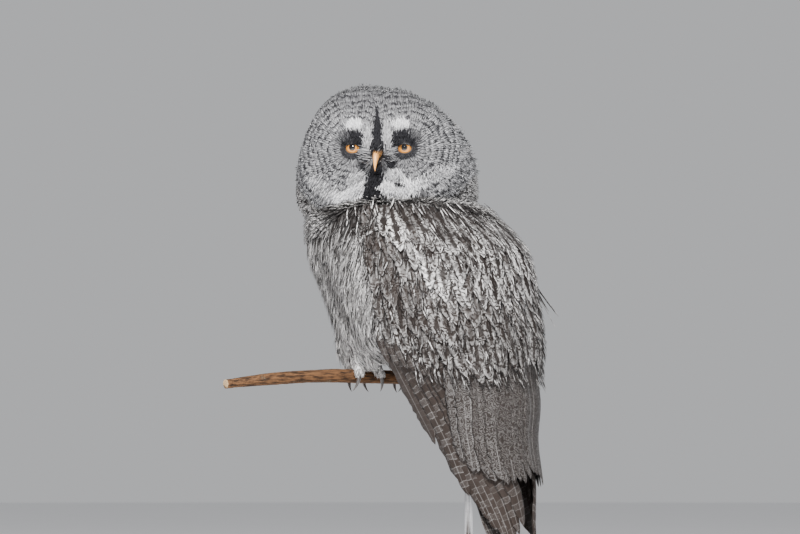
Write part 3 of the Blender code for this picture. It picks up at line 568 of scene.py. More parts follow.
class OwlStage(bpy.types.PropertyGroup):
    azimuth: bpy.props.FloatProperty(
        name="Azimuth",
        description="Where the camera stands round the owl",
        default=radians(120),
        subtype="ANGLE",
    )
    elevation: bpy.props.FloatProperty(
        name="Elevation", description="How far the camera looks down", default=radians(-4), subtype="ANGLE"
    )
    distance: length_setting("Distance", "From the camera to the owl", 3.75)
    lens: bpy.props.FloatProperty(name="Lens", description="Focal length in millimetres", default=135.0)


# Feathers as closed thin forms


def vane_faces(rows, columns, flip):
    """Faces of one feather: `rows` rings of `columns` points over and one under, and a point at the tip."""
    ring = columns + 1
    quads = ring_faces(rows, ring)
    k = np.arange(ring)
    after = (k + 1) % ring
    last, tip = (rows - 1) * ring, rows * ring
    end = np.stack([last + k, last + after, np.full(ring, tip)], -1)
    start = np.stack([np.zeros(ring - 2, int), np.arange(2, ring), np.arange(1, ring - 1)], -1)
    triangles = np.concatenate([end, start])
    if flip:
        quads, triangles = quads[:, ::-1], triangles[:, ::-1]
    return quads, triangles


def vane_mesh(centre, sideways, half, level, onto, columns, thick, details):
    """Points and values of feathers laid on a surface.

    centre and sideways are (feather, row, 3), half and level (feather, row); the last row is the tip's point.
    onto moves points onto the surface at a level over it. details has each feather's tilt, camber, ragged,
    tint, warmth and luck.
    """
    count, rows = half.shape
    across = np.linspace(-1, 1, columns)
    spread = half[..., None] * across
    if details.get("ragged") is not None:
        spread = spread * (1 + details["ragged"] * np.abs(across) ** 3)
    points = centre[:, :, None] + sideways[:, :, None] * spread[..., None]
    over = level[..., None] + details["tilt"] * spread - details["camber"] * half[..., None] * across**2
    upper = onto(points, over)
    under = onto(centre, level - thick)[:, :, None]
    grid = np.concatenate([upper, under], 2)
    tips = onto(centre[:, -1], level[:, -1] - thick / 2)
    body = grid[:, :-1].reshape(count, -1, 3)
    points = np.concatenate([body, tips[:, None]], 1)
    run = np.linalg.norm(np.diff(centre, axis=1), axis=-1)
    along = np.concatenate([np.zeros((count, 1)), np.cumsum(run, 1)], 1)
    share = along / along[:, -1:]
    side_share = np.append(across, 0.0)
    whole = np.ones((count, rows - 1, columns + 1))
    luck = details["luck"][:, None, None]
    vane = np.stack([whole * side_share, whole * share[:, :-1, None], whole * luck], -1)
    reach = np.stack(
        [
            half[:, :-1, None] * side_share,
            whole * along[:, :-1, None],
            whole * details["warmth"][:, None, None],
        ],
        -1,
    )
    tip_vane = np.stack([np.zeros(count), np.ones(count), details["luck"]], -1)
    tip_reach = np.stack([np.zeros(count), along[:, -1], details["warmth"]], -1)
    values = {
        "vane": np.concatenate([vane.reshape(count, -1, 3), tip_vane[:, None]], 1),
        "reach": np.concatenate([reach.reshape(count, -1, 3), tip_reach[:, None]], 1),
        "tint": np.repeat(details["tint"][:, None], (rows - 1) * (columns + 1) + 1, 1),
    }
    return points, values


class Plumage:
    """Gathers feathers of one piece, then makes its mesh."""

    def __init__(self, name, material, slot):
        self.name, self.material, self.slot = name, material, slot
        self.points, self.quads, self.triangles, self.bake = [], [], [], []
        self.values = {"vane": [], "reach": [], "tint": []}
        self.total = 0

    def add(
        self, centre, sideways, half, level, onto, columns=3, thick=0.0005, side=1, cells=False, **details
    ):
        """Adds feathers as vane_mesh makes them, those of the right side (-1) mirrored from the left."""
        count, rows = half.shape
        for key, default in (("tilt", 0.0), ("camber", 0.25), ("warmth", 0.3), ("luck", 0.5)):
            details.setdefault(key, default)
        for key in ("warmth", "luck"):
            details[key] = np.broadcast_to(details[key], (count,)).astype(float)
        points, values = vane_mesh(centre, sideways, half, level, onto, columns, thick, details)
        if "marks" in details:
            values["tint"][..., 0] *= details["marks"](points)
        each = points.shape[1]
        offset = self.total + np.arange(count)[:, None, None] * each
        points = points * (side, 1, 1)
        quads, triangles = vane_faces(rows - 1, columns, side < 0)
        self.quads.append((quads[None] + offset).reshape(-1, 4))
        self.triangles.append((triangles[None] + offset).reshape(-1, 3))
        self.points.append(points.reshape(-1, 3))
        for key in self.values:
            self.values[key].append(values[key].reshape(-1, 3))
        share = values["vane"][..., :2] * (0.5, 1.0) + (0.5, 0.0)
        self.bake.append((points[:, 0], share, cells))
        self.total += count * each

    def bake_map(self):
        """Where each feather is baked: a patch at its root on an unwrap, or its own cell if it is long."""
        roots = unwrap(np.concatenate([root for root, _, _ in self.bake]))
        low, high = roots.min(0), roots.max(0)
        found, done, celled = [], 0, sum(len(root) for root, _, cells in self.bake if cells)
        grid = int(np.ceil(np.sqrt(max(1, celled))))
        cell = 0
        for root, share, cells in self.bake:
            count = len(root)
            if cells:
                number = cell + np.arange(count)
                corner = np.stack([number % grid, number // grid], -1) / grid
                patch = corner[:, None] + (0.06 + 0.88 * share) / grid
                cell += count
            else:
                place = 0.01 + 0.98 * (roots[done : done + count] - low) / (high - low)
                patch = place[:, None] + BAKE_PATCH * (share - 0.5)
            found.append(np.clip(patch, 0.0, 1.0).reshape(-1, 2))
            done += count
        return np.concatenate(found)

    def make(self):
        values = {key: np.concatenate(rows) for key, rows in self.values.items()}
        points, quads, triangles = map(np.concatenate, (self.points, self.quads, self.triangles))
        piece = make_mesh(self.name, points, quads, triangles, self.material, values, self.bake_map())
        keep(piece, self.slot)


def unwrap(points):
    """Places on the skin laid flat: how far round the bird's upright axis, and how high."""
    return np.stack([np.arctan2(points[:, 0], points[:, 1] - 0.05) / (2 * pi), points[:, 2]], -1)


ROUND_TIP = (
    (0.0, 0.55), (0.12, 0.75), (0.28, 0.92), (0.45, 1.0), (0.65, 1.0), (0.80, 0.90), (0.90, 0.70),
    (0.96, 0.46), (1.0, 0.0),
)
COVERT_TIP = (
    (0.0, 0.55), (0.28, 0.92), (0.45, 1.0), (0.65, 0.95), (0.80, 0.76), (0.90, 0.50), (0.96, 0.27),
    (1.0, 0.0),
)
SOFT_TIP = ((0.0, 0.45), (0.25, 0.85), (0.50, 1.0), (0.72, 0.88), (0.88, 0.55), (1.0, 0.0))
LOCK_TIP = ((0.0, 0.55), (0.3, 1.0), (0.65, 0.75), (1.0, 0.0))


def widths(profile, shares):
    table = np.array(profile)
    return np.interp(shares, table[:, 0], table[:, 1])


def lay_on_skin(plumage, skin, root, way, length, half, sunk, lift, profile, chance, bow=0.10, **more):
    """Feathers from their roots on the skin, along the coat's lie, sunk at the root and lifted at the tip."""
    count = len(root)
    shares = np.array([share for share, _ in profile])
    normal = skin.normal_at(root)
    way = unit(way - normal * (way * normal).sum(-1, keepdims=True))
    sideways = unit(np.cross(way, normal))
    length = np.broadcast_to(length, (count,))
    bend = chance.normal(0, bow, count) * length
    centre = root[:, None] + way[:, None] * (length[:, None] * shares)[..., None]
    centre = centre + sideways[:, None] * (bend[:, None] * shares**2)[..., None]
    half_rows = np.broadcast_to(half, (count,))[:, None] * widths(profile, shares)
    level = np.broadcast_to(sunk, (count,))[:, None] + (
        np.broadcast_to(lift, (count,)) - np.broadcast_to(sunk, (count,))
    )[:, None] * shares**1.5
    plumage.add(
        centre,
        np.repeat(sideways[:, None], len(shares), 1),
        half_rows,
        level,
        skin.onto,
        luck=chance.random(count),
        **more,
    )


def plain_tint(pale, bars=0.0):
    """Tints of feathers by their paleness, with no streaks."""
    return np.stack([pale, 0 * pale, bars + 0 * pale], -1)


class Skin:
    """The skin's surface, to root feathers on."""

    def __init__(self, mesh):
        count = len(mesh.vertices)
        self.points = np.empty(count * 3, np.float32)
        mesh.vertices.foreach_get("co", self.points)
        self.points = self.points.reshape(-1, 3).astype(float) - PERCH_MIDDLE
        normals = np.empty(count * 3, np.float32)
        mesh.vertices.foreach_get("normal", normals)
        normals = normals.reshape(-1, 3).astype(float)
        mesh.calc_loop_triangles()
        self.faces = np.empty(len(mesh.loop_triangles) * 3, np.int32)
        mesh.loop_triangles.foreach_get("vertices", self.faces)
        self.faces = self.faces.reshape(-1, 3)
        self.normals = unit(normals[self.faces].sum(1))
        self.tree = BVHTree.FromPolygons(self.points.tolist(), self.faces.tolist(), all_triangles=True)

    def nearest(self, points):
        found = [self.tree.find_nearest(p) for p in points.reshape(-1, 3).tolist()]
        place = np.array([(f[0].x, f[0].y, f[0].z) for f in found])
        return place, self.normals[[f[2] for f in found]]

    def normal_at(self, points):
        return self.nearest(points)[1]

    def onto(self, points, out):
        place, normal = self.nearest(points)
        return (place + normal * np.broadcast_to(out, points.shape[:-1]).reshape(-1, 1)).reshape(points.shape)

    def scatter(self, spacing, inside, chance):
        """Roots spread evenly over the part of the skin where inside(points) holds."""
        corners = self.points[self.faces]
        area = 0.5 * np.linalg.norm(
            np.cross(corners[:, 1] - corners[:, 0], corners[:, 2] - corners[:, 0]), axis=1,
        )
        kept = inside(corners.mean(1))
        corners, area = corners[kept], area[kept]
        tries = int(5 * area.sum() / spacing**2)
        face = chance.choice(len(area), tries, p=area / area.sum())
        a, b = chance.random((2, tries, 1))
        turned = a + b > 1
        a, b = np.where(turned, 1 - a, a), np.where(turned, 1 - b, b)
        points = corners[face, 0] * (1 - a - b) + corners[face, 1] * a + corners[face, 2] * b
        cells = np.floor(points / spacing).astype(int).tolist()
        taken, kept = {}, []
        near = [(i, j, k) for i in (-1, 0, 1) for j in (-1, 0, 1) for k in (-1, 0, 1)]
        for number, (point, (x, y, z)) in enumerate(zip(points.tolist(), cells)):
            px, py, pz = point
            for i, j, k in near:
                other = taken.get((x + i, y + j, z + k))
                if other and (other[0] - px) ** 2 + (other[1] - py) ** 2 + (other[2] - pz) ** 2 < spacing**2:
                    break
            else:
                taken[x, y, z] = point
                kept.append(number)
        return points[kept]


# Markings, as places in the head's own directions: (left, up, half width)
WHITE_MARKS = (
    ((0.0205, 0.0790, 0.0040), (0.0270, 0.0795, 0.0070), (0.0325, 0.0785, 0.0040)),
    ((-0.0250, 0.0790, 0.0040), (-0.0320, 0.0790, 0.0070), (-0.0375, 0.0780, 0.0040)),
    (
        (0.0035, 0.0060, 0.0045), (0.0110, -0.0020, 0.0068), (0.0270, -0.0075, 0.0078),
        (0.0400, -0.0040, 0.0060),
    ),
    ((0.0400, -0.0040, 0.0052), (0.0590, 0.0080, 0.0040)),
    (
        (-0.0150, 0.0090, 0.0045), (-0.0200, -0.0020, 0.0068), (-0.0320, -0.0120, 0.0075),
        (-0.0440, -0.0175, 0.0062),
    ),
)
LIGHT_MARKS = (
    ((0.0105, 0.0790, 0.0036), (0.0085, 0.0665, 0.0042), (0.0090, 0.0550, 0.0042), (0.0145, 0.0460, 0.0036)),
    (
        (-0.0150, 0.0740, 0.0036), (-0.0125, 0.0630, 0.0042), (-0.0135, 0.0540, 0.0042),
        (-0.0205, 0.0470, 0.0036),
    ),
    ((0.0150, 0.0170, 0.0065), (0.0285, 0.0150, 0.0070)),
    ((-0.0190, 0.0140, 0.0055), (-0.0280, 0.0060, 0.0060)),
    ((0.0590, 0.0080, 0.0050), (0.0725, 0.0175, 0.0052), (0.0880, 0.0260, 0.0060)),
    (
        (-0.0440, -0.0175, 0.0060), (-0.0615, -0.0100, 0.0055), (-0.0705, -0.0020, 0.0050),
        (-0.0820, 0.0120, 0.0055),
    ),
)
# Of these, the patches over the eyes are partly dark feathers and partly painted shade under the brows,
# and the band under the owl's right moustache is painted shade.
DARK_MARKS_AND_SHADE = (
    (
        (-0.0035, 0.1020, 0.0010), (-0.0025, 0.0870, 0.0022), (-0.0015, 0.0740, 0.0050),
        (-0.0010, 0.0500, 0.0052),
    ),
    ((0.0195, 0.0570, 0.0045), (0.0260, 0.0640, 0.0062), (0.0400, 0.0615, 0.0036)),
    ((-0.0210, 0.0570, 0.0045), (-0.0285, 0.0640, 0.0062), (-0.0430, 0.0600, 0.0034)),
    (
        (-0.0020, 0.0240, 0.0095), (-0.0035, 0.0070, 0.0088), (-0.0050, -0.0120, 0.0105),
        (-0.0120, -0.0270, 0.0135),
    ),
    ((-0.0120, -0.0290, 0.0080), (-0.0480, -0.0290, 0.0070)),
    ((0.0130, 0.0370, 0.0035), (0.0190, 0.0330, 0.0038)),
    ((-0.0120, 0.0250, 0.0040), (-0.0170, 0.0290, 0.0030)),
)
# Of these, the bands under both moustaches are painted shade, and the grey ends of the patches over the eyes
# are partly painted shade under the brows.
GREY_MARKS_AND_SHADE = (
    ((0.0060, 0.0420, 0.0045), (0.0210, 0.0340, 0.0050)),
    ((-0.0080, 0.0420, 0.0045), (-0.0220, 0.0320, 0.0050)),
    ((0.0400, -0.0140, 0.0050), (0.0560, -0.0080, 0.0055)),
    ((-0.0440, -0.0300, 0.0060), (-0.0600, -0.0240, 0.0050)),
    ((0.0400, 0.0550, 0.0040), (0.0490, 0.0620, 0.0035)),
    ((-0.0420, 0.0540, 0.0040), (-0.0510, 0.0600, 0.0035)),
)
RING_APART = 0.0071
LID_WIDTH, LID_HEIGHT = 0.0090, 0.0070
# The lids' rings: size against the opening, and radius from the middle of the eye
LID_RINGS = ((1.0, 0.0128), (0.97, 0.0134), (1.02, 0.0139), (1.14, 0.0139), (1.30, 0.0136), (1.40, 0.0128))
PUPIL_RADIUS, IRIS_RADIUS = 0.0040, 0.0084


def stroke(left, up, marks):
    """1 where places lie on any of the marks, each a line of (left, up, half width), and 0 off them all."""
    most = np.zeros(np.broadcast(left, up).shape)
    for mark in marks:
        for (l0, u0, w0), (l1, u1, w1) in zip(mark, mark[1:]):
            run = (l1 - l0) ** 2 + (u1 - u0) ** 2
            share = np.clip(((left - l0) * (l1 - l0) + (up - u0) * (u1 - u0)) / run, 0.0, 1.0)
            away = np.hypot(left - l0 - share * (l1 - l0), up - u0 - share * (u1 - u0))
            wide = w0 + (w1 - w0) * share
            most = np.maximum(most, 1 - smooth_step(away, 0.6 * wide, 1.3 * wide))
    return most


def face_tint(left, up):
    """Paleness, nothing and strength of the rings at places of the face."""
    pale = np.full(np.broadcast(left, up).shape, 0.50)
    from_eye = from_nearer_eye(left, up)
    pale -= 0.16 * (1 - smooth_step(from_eye, 0.012, 0.034))
    pale -= 0.17 * smooth_step(up, 0.080, 0.112)
    light, white = stroke(left, up, LIGHT_MARKS), stroke(left, up, WHITE_MARKS)
    grey, dark = stroke(left, up, GREY_MARKS_AND_SHADE), stroke(left, up, DARK_MARKS_AND_SHADE)
    dark = np.maximum(dark, 1 - smooth_step(from_eye, 0.0095, 0.0135))
    pale = pale + (0.60 - pale) * light
    pale = pale + (1.15 - pale) * white
    # The grey and dark marks include painted shade under the brows and under the moustache bands.
    pale = pale + (0.18 - pale) * grey
    pale = pale + (0.0 - pale) * dark
    plain = np.maximum.reduce([light, white, grey, dark])
    rings = (1 - plain) * smooth_step(from_eye, 0.014, 0.030)
    return np.stack([pale, np.zeros_like(pale), rings], -1)


def on_disc(points):
    """Which points lie on the two discs of the face."""
    left, forward, up = in_head(points)
    return (forward > 0.02) & (from_nearer_eye(left, up) < DISC_RADIUS + 0.001)


def head_tint(points):
    """Tint of the head outside its discs: ruff, crown, nape and cheeks."""
    left, forward, up = in_head(points)
    pale = np.full(len(points), 0.80)
    ruff = np.exp(-(((from_nearer_eye(left, up) - DISC_RADIUS - 0.006) / 0.008) ** 2)) * (forward > 0)
    crown = smooth_step(up, 0.085, 0.12) * smooth_step(forward, -0.06, 0.02)
    pale = pale - 0.42 * crown
    # Near black under the chin towards the owl's right: partly the black bib, partly painted shade in the gap
    # between head and breast.
    chin = smooth_step(-up, 0.014, 0.034) * (
        1 - smooth_step(np.abs(left + 0.022), 0.020, 0.046)
    ) * (forward > 0)
    pale = pale + (0.06 - pale) * np.clip(chin, 0, 1)
    # Painted shade under the moustache bands.
    grey = stroke(left, up, GREY_MARKS_AND_SHADE[2:4]) * (forward > 0)
    pale = pale + (0.16 - pale) * 0.8 * grey
    light = stroke(left, up, LIGHT_MARKS[4:]) * (forward > 0)
    pale = pale + (0.92 - pale) * light
    streak = 0.25 + 0.25 * ruff
    bars = np.clip(0.90 + 0.10 * ruff - 0.15 * light, 0, 1)
    return np.stack([pale, streak, bars], -1)


def body_tint(points):
    """Tint of breast, belly, flanks, legs and mantle."""
    turn = np.abs(turn_of(FOLDED, points))
    height = points[:, 2]
    front = smooth_step(turn, 85, 115)
    low = 1 - smooth_step(height, 0.02, 0.13)
    pale = 0.64 + 0.26 * front * low + 0.04 * front * (1 - low)
    streak = 0.75 * (1 - front) + front * (0.55 - 0.35 * low)
    bars = 0.75 * (1 - front) + 0.22 * front * (1 - 0.6 * low)
    cape = on_shoulder(points)
    patches = np.sin(points[:, 0] * 170 + 1.0) + np.sin(points[:, 1] * 150 + height * 60)
    patches = patches + np.sin(height * 230 + 2.0)
    pale = pale * (0.62 - 0.36 * cape + (0.52 + 0.46 * cape) * smooth_step(patches, -0.9, 1.2))
    left, forward, up = in_head(points)
    # Dark down the front of the neck towards the owl's right: partly the black bib, partly painted shade in
    # the gap
    # between head and breast.
    bib = np.exp(-(((left + 0.022) / 0.024) ** 2)) * (forward > 0.02) * (1 - smooth_step(-up, 0.030, 0.050))
    pale = pale * (1 - 0.92 * bib)
    return np.stack([pale, streak + 0.2 * cape, bars + 0.15 * cape], -1)


def head_share(points):
    """1 on the head and 0 on the body, smooth between."""
    left, forward, up = in_head(points)
    low = smooth_step(up, -0.066, -0.040)
    away = np.sqrt(
        (left / 0.118) ** 2 + (np.minimum(forward, 0.0) / 0.104) ** 2 + (np.maximum(forward, 0.0) / 0.09) ** 2
    )
    return low * (1 - smooth_step(away, 1.03, 1.16))


def coat_tint(points):
    share = head_share(points)[:, None]
    return head_tint(points) * share + body_tint(points) * (1 - share)


def lie(points):
    """Which way the coat lies: out from the eyes, back over the crown, down the nape and down the body."""
    _, forward, up = in_head(points)
    eyes = head_place(0.0, 0.05, EYE_UP)
    down = 1.3 * smooth_step(-forward, -0.03, 0.06) + 0.5 * smooth_step(-up, -0.01, 0.05)
    on_head = unit(unit(points - eyes) * 0.9 - FACE * 0.7 - UP * down[:, None])
    rear = 0.25 * smooth_step(0.12 - points[:, 2], 0.0, 0.12)[:, None]
    outward = unit(points * (1, 1, 0) - (0, 0.06, 0))
    on_body = unit(-UP + rear * np.array((0.0, 1.0, 0.0)) + 0.1 * outward)
    share = head_share(points)[:, None]
    return unit(on_head * share + on_body * (1 - share))


# Finishes


def face_finish(colours):
    """Grey feathers of the face: broken dark rings round each eye, with the marks of brow and chin, and
    painted shade under the brows and moustache bands.
    """
    finish = Finish("face_plumage_finish", Roughness=0.9, Specular_IOR_Level=0.25)
    aside, up = finish.on_head()
    from_eye = finish.away(aside - EYE_APART / 2, up - EYE_UP)
    across, _, luck = finish.own("vane")
    pale, _, rings = finish.own("tint")
    wander = finish.noise(38, 2) * 2.0 + finish.noise(190, 2) * 1.5 + luck * 0.22
    wave = finish.sine((from_eye / RING_APART + wander) * (2 * pi))
    broken = finish.step(finish.noise(170, 3), 0.40, 0.58)
    dark = finish.step(wave, -0.20, 0.60) * rings * (0.25 + broken * 0.75)
    fine = finish.step(
        finish.sine((from_eye / (RING_APART / 2) + wander * 1.7) * (2 * pi)), 0.1, 0.9,
    ) * rings * 0.26
    grain = finish.noise(1100, 2)
    tone = (pale * (1 - dark * 0.78) * (1 - fine) * (0.62 + luck * 0.46 + grain * 0.36)) ** 1.45
    tone = tone * (1 - finish.step(finish.size_of(across), 0.45, 1.0) * 0.30)
    colour = finish.mix(tone, colours.face_dark, colours.face_pale)
    finish.bump(finish.noise(2200, 1), 0.25, 0.0004)
    return finish.paint(colour)


def body_finish(colours):
    """Soft grey feathers: dark shaft streaks and fine wavy bars on a pale ground."""
    finish = Finish("plumage_finish", Roughness=0.85, Specular_IOR_Level=0.15)
    across, along, luck = finish.own("vane")
    aside, far, warmth = finish.own("reach")
    pale, streak, bars = finish.own("tint")
    size = finish.size_of(across)
    wander = finish.noise(110, 1) * 3.8 + finish.noise(420, 1) * 0.8 + luck * 7
    wave = finish.sine(((far + finish.size_of(aside) * 0.45) / 0.0074 + wander) * (2 * pi))
    broken = finish.step(finish.noise(150, 2), 0.40, 0.56)
    barred = finish.step(wave, -0.35, 0.25) * bars * (0.40 + broken * 0.60)
    edge = size + (finish.noise(120, 2) - 0.5) * 0.9 + (finish.noise(600, 2) - 0.5) * 0.4
    shaft = (1 - finish.step(edge, 0.12, 0.46)) * streak * (1 - finish.step(along, 0.78, 0.97))
    grain = finish.noise(1300, 2)
    tone = (pale * (1 - barred * 0.86) * (1 - shaft * 0.95) * (0.68 + luck * 0.26 + grain * 0.44)) ** 1.6
    # Darker towards each feather's root: its dark downy base, and painted shade where the roots show between
    # feathers.
    tone = tone * (0.22 + finish.step(along, 0.02, 0.32) * 0.78)
    tone = tone * (1 - finish.step(size, 0.66, 1.0) * 0.50)
    ground = finish.mix(warmth, colours.dark, colours.warm)
    colour = finish.mix(tone, ground, colours.pale)
    barbs = finish.sine((far + finish.size_of(aside) * 0.9) * (2 * pi / 0.0011))
    finish.bump(barbs * 0.5 + finish.noise(900, 2), 0.30, 0.0005)
    return finish.paint(colour)


def flight_finish(colours):
    """Vanes of wing and tail: brown, with pale mottled squares, a paler edge and fine barbs."""
    finish = Finish("vanes_finish", Roughness=0.62, Specular_IOR_Level=0.2)
    across, _, luck = finish.own("vane")
    aside, far, warmth = finish.own("reach")
    pale, squares, mottle = finish.own("tint")
    size = finish.size_of(across)
    wander = finish.noise(120, 2) * 0.30
    phase = (far / 0.0185 + luck + wander) * (2 * pi)
    wave = finish.sine(phase)
    square = finish.step(wave, 0.05, 0.30)
    rim = square * (1 - finish.step(wave, 0.34, 0.62))
    fleck = finish.step(finish.noise(420, 3), 0.46, 0.62)
    marbled = finish.noise(140, 1) * 36 + finish.noise(480, 1) * 5
    fine = finish.step(
        finish.sine((far + finish.size_of(aside) * 0.5) * (2 * pi / 0.0050) + marbled), -0.1, 0.5,
    )
    tone = pale * (
        0.02 + square * squares * (0.10 + fleck * 0.22) + rim * squares * 0.55 + mottle * fine * 0.80
    )
    edging = finish.step(size + (finish.noise(300, 1) - 0.5) * 0.2, 0.86, 0.97) * 0.20 * (1 - mottle)
    shaft = 1 - finish.step(size, 0.02, 0.07)
    grain = finish.noise(1300, 2)
    tone = (tone + edging * pale + shaft * 0.10) * (0.75 + grain * 0.5)
    ground = finish.mix(warmth, colours.dark, colours.warm)
    colour = finish.mix(tone, ground, colours.pale)
    barbs = finish.sine((far + finish.size_of(aside) * 0.9) * (2 * pi / 0.0010))
    finish.bump(barbs * 0.5 + finish.noise(700, 2) * 0.6, 0.30, 0.0004)
    return finish.paint(colour, 0.55 + grain * 0.2)


def face_plumage(context):
    return bpy.data.materials.get("face_plumage_finish") or face_finish(context.scene.owl_colours)


def plumage(context):
    return bpy.data.materials.get("plumage_finish") or body_finish(context.scene.owl_colours)


def vanes(context):
    return bpy.data.materials.get("vanes_finish") or flight_finish(context.scene.owl_colours)


# Pieces


def foot_place(side):
    return ALONG_PERCH * side * FOOT_APART / 2


def toe_path(place, shift, way, steps, radius=TOE_RADIUS):
    """Points of a toe bent over the perch, from its top towards the front (way 1) or the back (way -1)."""
    turn = np.linspace(0, TOE_REACH, steps)
    splay = shift * (1 + 0.5 * np.linspace(0, 1, steps))
    reach = PERCH_RADIUS + radius
    across = UP * np.cos(turn)[:, None] + OFF_PERCH * way * np.sin(turn)[:, None]
    return place + ALONG_PERCH * splay[:, None] + reach * across


TOES = ((-FRONT_SPREAD, 1), (FRONT_SPREAD, 1), (-REAR_SPREAD, -1), (REAR_SPREAD, -1))


def leg_rings(side, inside, heights):
    place = foot_place(side)
    behind, half_width, half_depth = np.moveaxis(through(LEG, heights), -1, 0)
    turn = np.linspace(0, 2 * pi, 32, endpoint=False)
    x = place[0] + (half_width - inside)[:, None] * np.cos(turn)
    y = (place[1] + behind + LEG_BACK)[:, None] + (half_depth - inside)[:, None] * np.sin(turn)
    return np.stack([x, y, np.broadcast_to(heights[:, None], x.shape)], -1)


# How wide the skin of the folded wings is against their outline, at heights
WINGS_WITHIN = ((0.214, 0.82), (0.206, 0.95), (0.194, 1.0), (0.035, 1.0), (0.015, 0.68), (-0.012, 0.45))
SHOULDER_TOP = 0.214


def skin_parts(depth, face_depth):
    """Closed forms of head, neck, body, folded wings, legs and feet, sunk under the plumage."""
    turn = np.linspace(0, 360, 72, endpoint=False)
    polar = np.linspace(0, pi, 46)[1:-1, None]
    head = head_surface(polar, np.radians(turn)[None])
    left, forward, up = in_head(head)
    face = (forward > 0.0) * (
        1 - smooth_step(from_nearer_eye(left, up), DISC_RADIUS - 0.010, DISC_RADIUS + 0.006)
    )
    sunk = depth + (face_depth - depth) * face
    parts = [head - sunk[..., None] * unit(head - HEAD_MIDDLE)]
    heights = np.linspace(SHOULDER_TOP, TORSO[-1][0], 54)[:, None]
    top = smooth_step(heights, 0.196, SHOULDER_TOP)[..., None]
    parts.append(on_outline(TORSO, heights, turn, -depth - 0.012 * top[..., 0]))
    heights = np.linspace(SHOULDER_TOP, WINGS_WITHIN[-1][0], 50)
    share = np.interp(heights, *np.array(WINGS_WITHIN[::-1]).T)[:, None, None]
    mass = on_outline(FOLDED, heights[:, None], turn, -depth - 0.003)
    middle = mass.mean(1, keepdims=True)
    parts.append(middle + (mass - middle) * share)
    for side in (-1, 1):
        parts.append(leg_rings(side, 0.0035, np.linspace(0.085, 0.0125, 20)))
        place = foot_place(side)
        ankle = np.linspace(0.016, 0.009, 4)[:, None]
        round_foot = np.radians(turn[::3])
        x, y = 0.0135 * np.cos(round_foot), 0.0135 * np.sin(round_foot)
        parts.append(np.array([place + np.stack([x, y, z + 0 * round_foot], -1) for z in ankle]))
        for shift, way in TOES:
            path = toe_path(place, shift, way, 12, TOE_RADIUS - 0.0004)
            radii = np.repeat(np.linspace(TOE_RADIUS - 0.001, TOE_RADIUS - 0.0018, 12)[:, None], 2, 1)
            parts.append(tube_rings(path, radii, 14, ALONG_PERCH))
    return [loft_parts(rings) for rings in parts]


class OWL_OT_skin(bpy.types.Operator):
    """Joins head, neck, body, wings, legs and feet into one skin under the plumage"""

    bl_idname = "owl.skin"
    bl_label = "Skin"

    def execute(self, context):
        coat = context.scene.owl_coat
        skin = make_mesh("skin", *joined(skin_parts(coat.coat_depth, coat.face_depth)), plumage(context))
        remesh = skin.modifiers.new("join", "REMESH")
        remesh.mode, remesh.voxel_size, remesh.use_smooth_shade = "VOXEL", coat.skin_voxel, True
        smooth = skin.modifiers.new("smooth", "SMOOTH")
        smooth.factor, smooth.iterations = 0.5, 6
        applied(skin)
        skin.data.materials.append(face_plumage(context))
        points = Skin(skin.data).points
        left, _, up = in_head(points)
        face = on_disc(points)
        tint = np.where(face[:, None], face_tint(left, up), coat_tint(points)) * (0.75, 0.0, 1.0)
        even = np.ones(len(points))
        values = {
            "vane": np.stack([0.5 * even, 0.5 * even, 0.5 * even], -1),
            "reach": np.stack([0 * even, -points[:, 2], 0.4 * even], -1),
            "tint": tint,
        }
        for key, value in values.items():
            layer = skin.data.attributes.new(key, "FLOAT_VECTOR", "POINT")
            layer.data.foreach_set("vector", value.astype(np.float32).ravel())
        middles = np.empty(len(skin.data.polygons) * 3, np.float32)
        skin.data.polygons.foreach_get("center", middles)
        on_face = on_disc(middles.reshape(-1, 3) - PERCH_MIDDLE)
        skin.data.polygons.foreach_set("material_index", on_face.astype(np.int32))
        nodes = ["head", "neck", "torso", "tail"]
        nodes += [f"{part}_{word}" for part in ("wing", "leg", "foot") for word in ("left", "right")]
        keep(skin, "plumage", *nodes)
        return {"FINISHED"}


def owl_skin():
    return Skin(bpy.data.objects["skin"].data)


class OWL_OT_face_feathers(bpy.types.Operator):
    """Lays the rings of small stiff feathers that make the two discs of the face"""

    bl_idname = "owl.face_feathers"
    bl_label = "Face discs"

    def execute(self, context):
        chance = np.random.default_rng(5)
        spacing = context.scene.owl_coat.disc_spacing
        plumes = Plumage("face_disc_feathers", face_plumage(context), "face_plumage")
        lefts, ups = [], []
        for side in (-1, 1):
            for radius in np.arange(0.0098, DISC_RADIUS + 0.006, DISC_RING_APART):
                turn = np.arange(int(2 * pi * radius / spacing)) * spacing / radius + chance.random()
                lefts.append(side * EYE_APART / 2 + radius * np.cos(turn))
                ups.append(EYE_UP + radius * np.sin(turn))
                mine = side * lefts[-1] > -0.001
                lefts[-1], ups[-1] = lefts[-1][mine], ups[-1][mine]
        left, up = np.concatenate(lefts), np.concatenate(ups)
        left, up = left + chance.normal(0, 0.0004, len(left)), up + chance.normal(0, 0.0004, len(up))
        on = towards_edge(left, up) < 0.90
        left, up = left[on], up[on]
        from_eye = from_nearer_eye(left, up)
        aside = (left - np.sign(left) * EYE_APART / 2) / from_eye
        above = (up - EYE_UP) / from_eye
        middle = np.exp(-((left / 0.010) ** 2))
        above = above + middle * np.where(up > 0.040, 1.2, -1.2)
        aside = aside + chance.normal(0, 0.12, len(left))
        length = 0.0085 + 0.0045 * from_eye / DISC_RADIUS
        lay_on_face(
            plumes, left, up, aside, above, length, 0.00125, -0.0024, 0.0009, LOCK_TIP, chance,
            tint=face_tint(left + 0.5 * length * aside, up + 0.5 * length * above),
        )
        plumes.make()
        return {"FINISHED"}


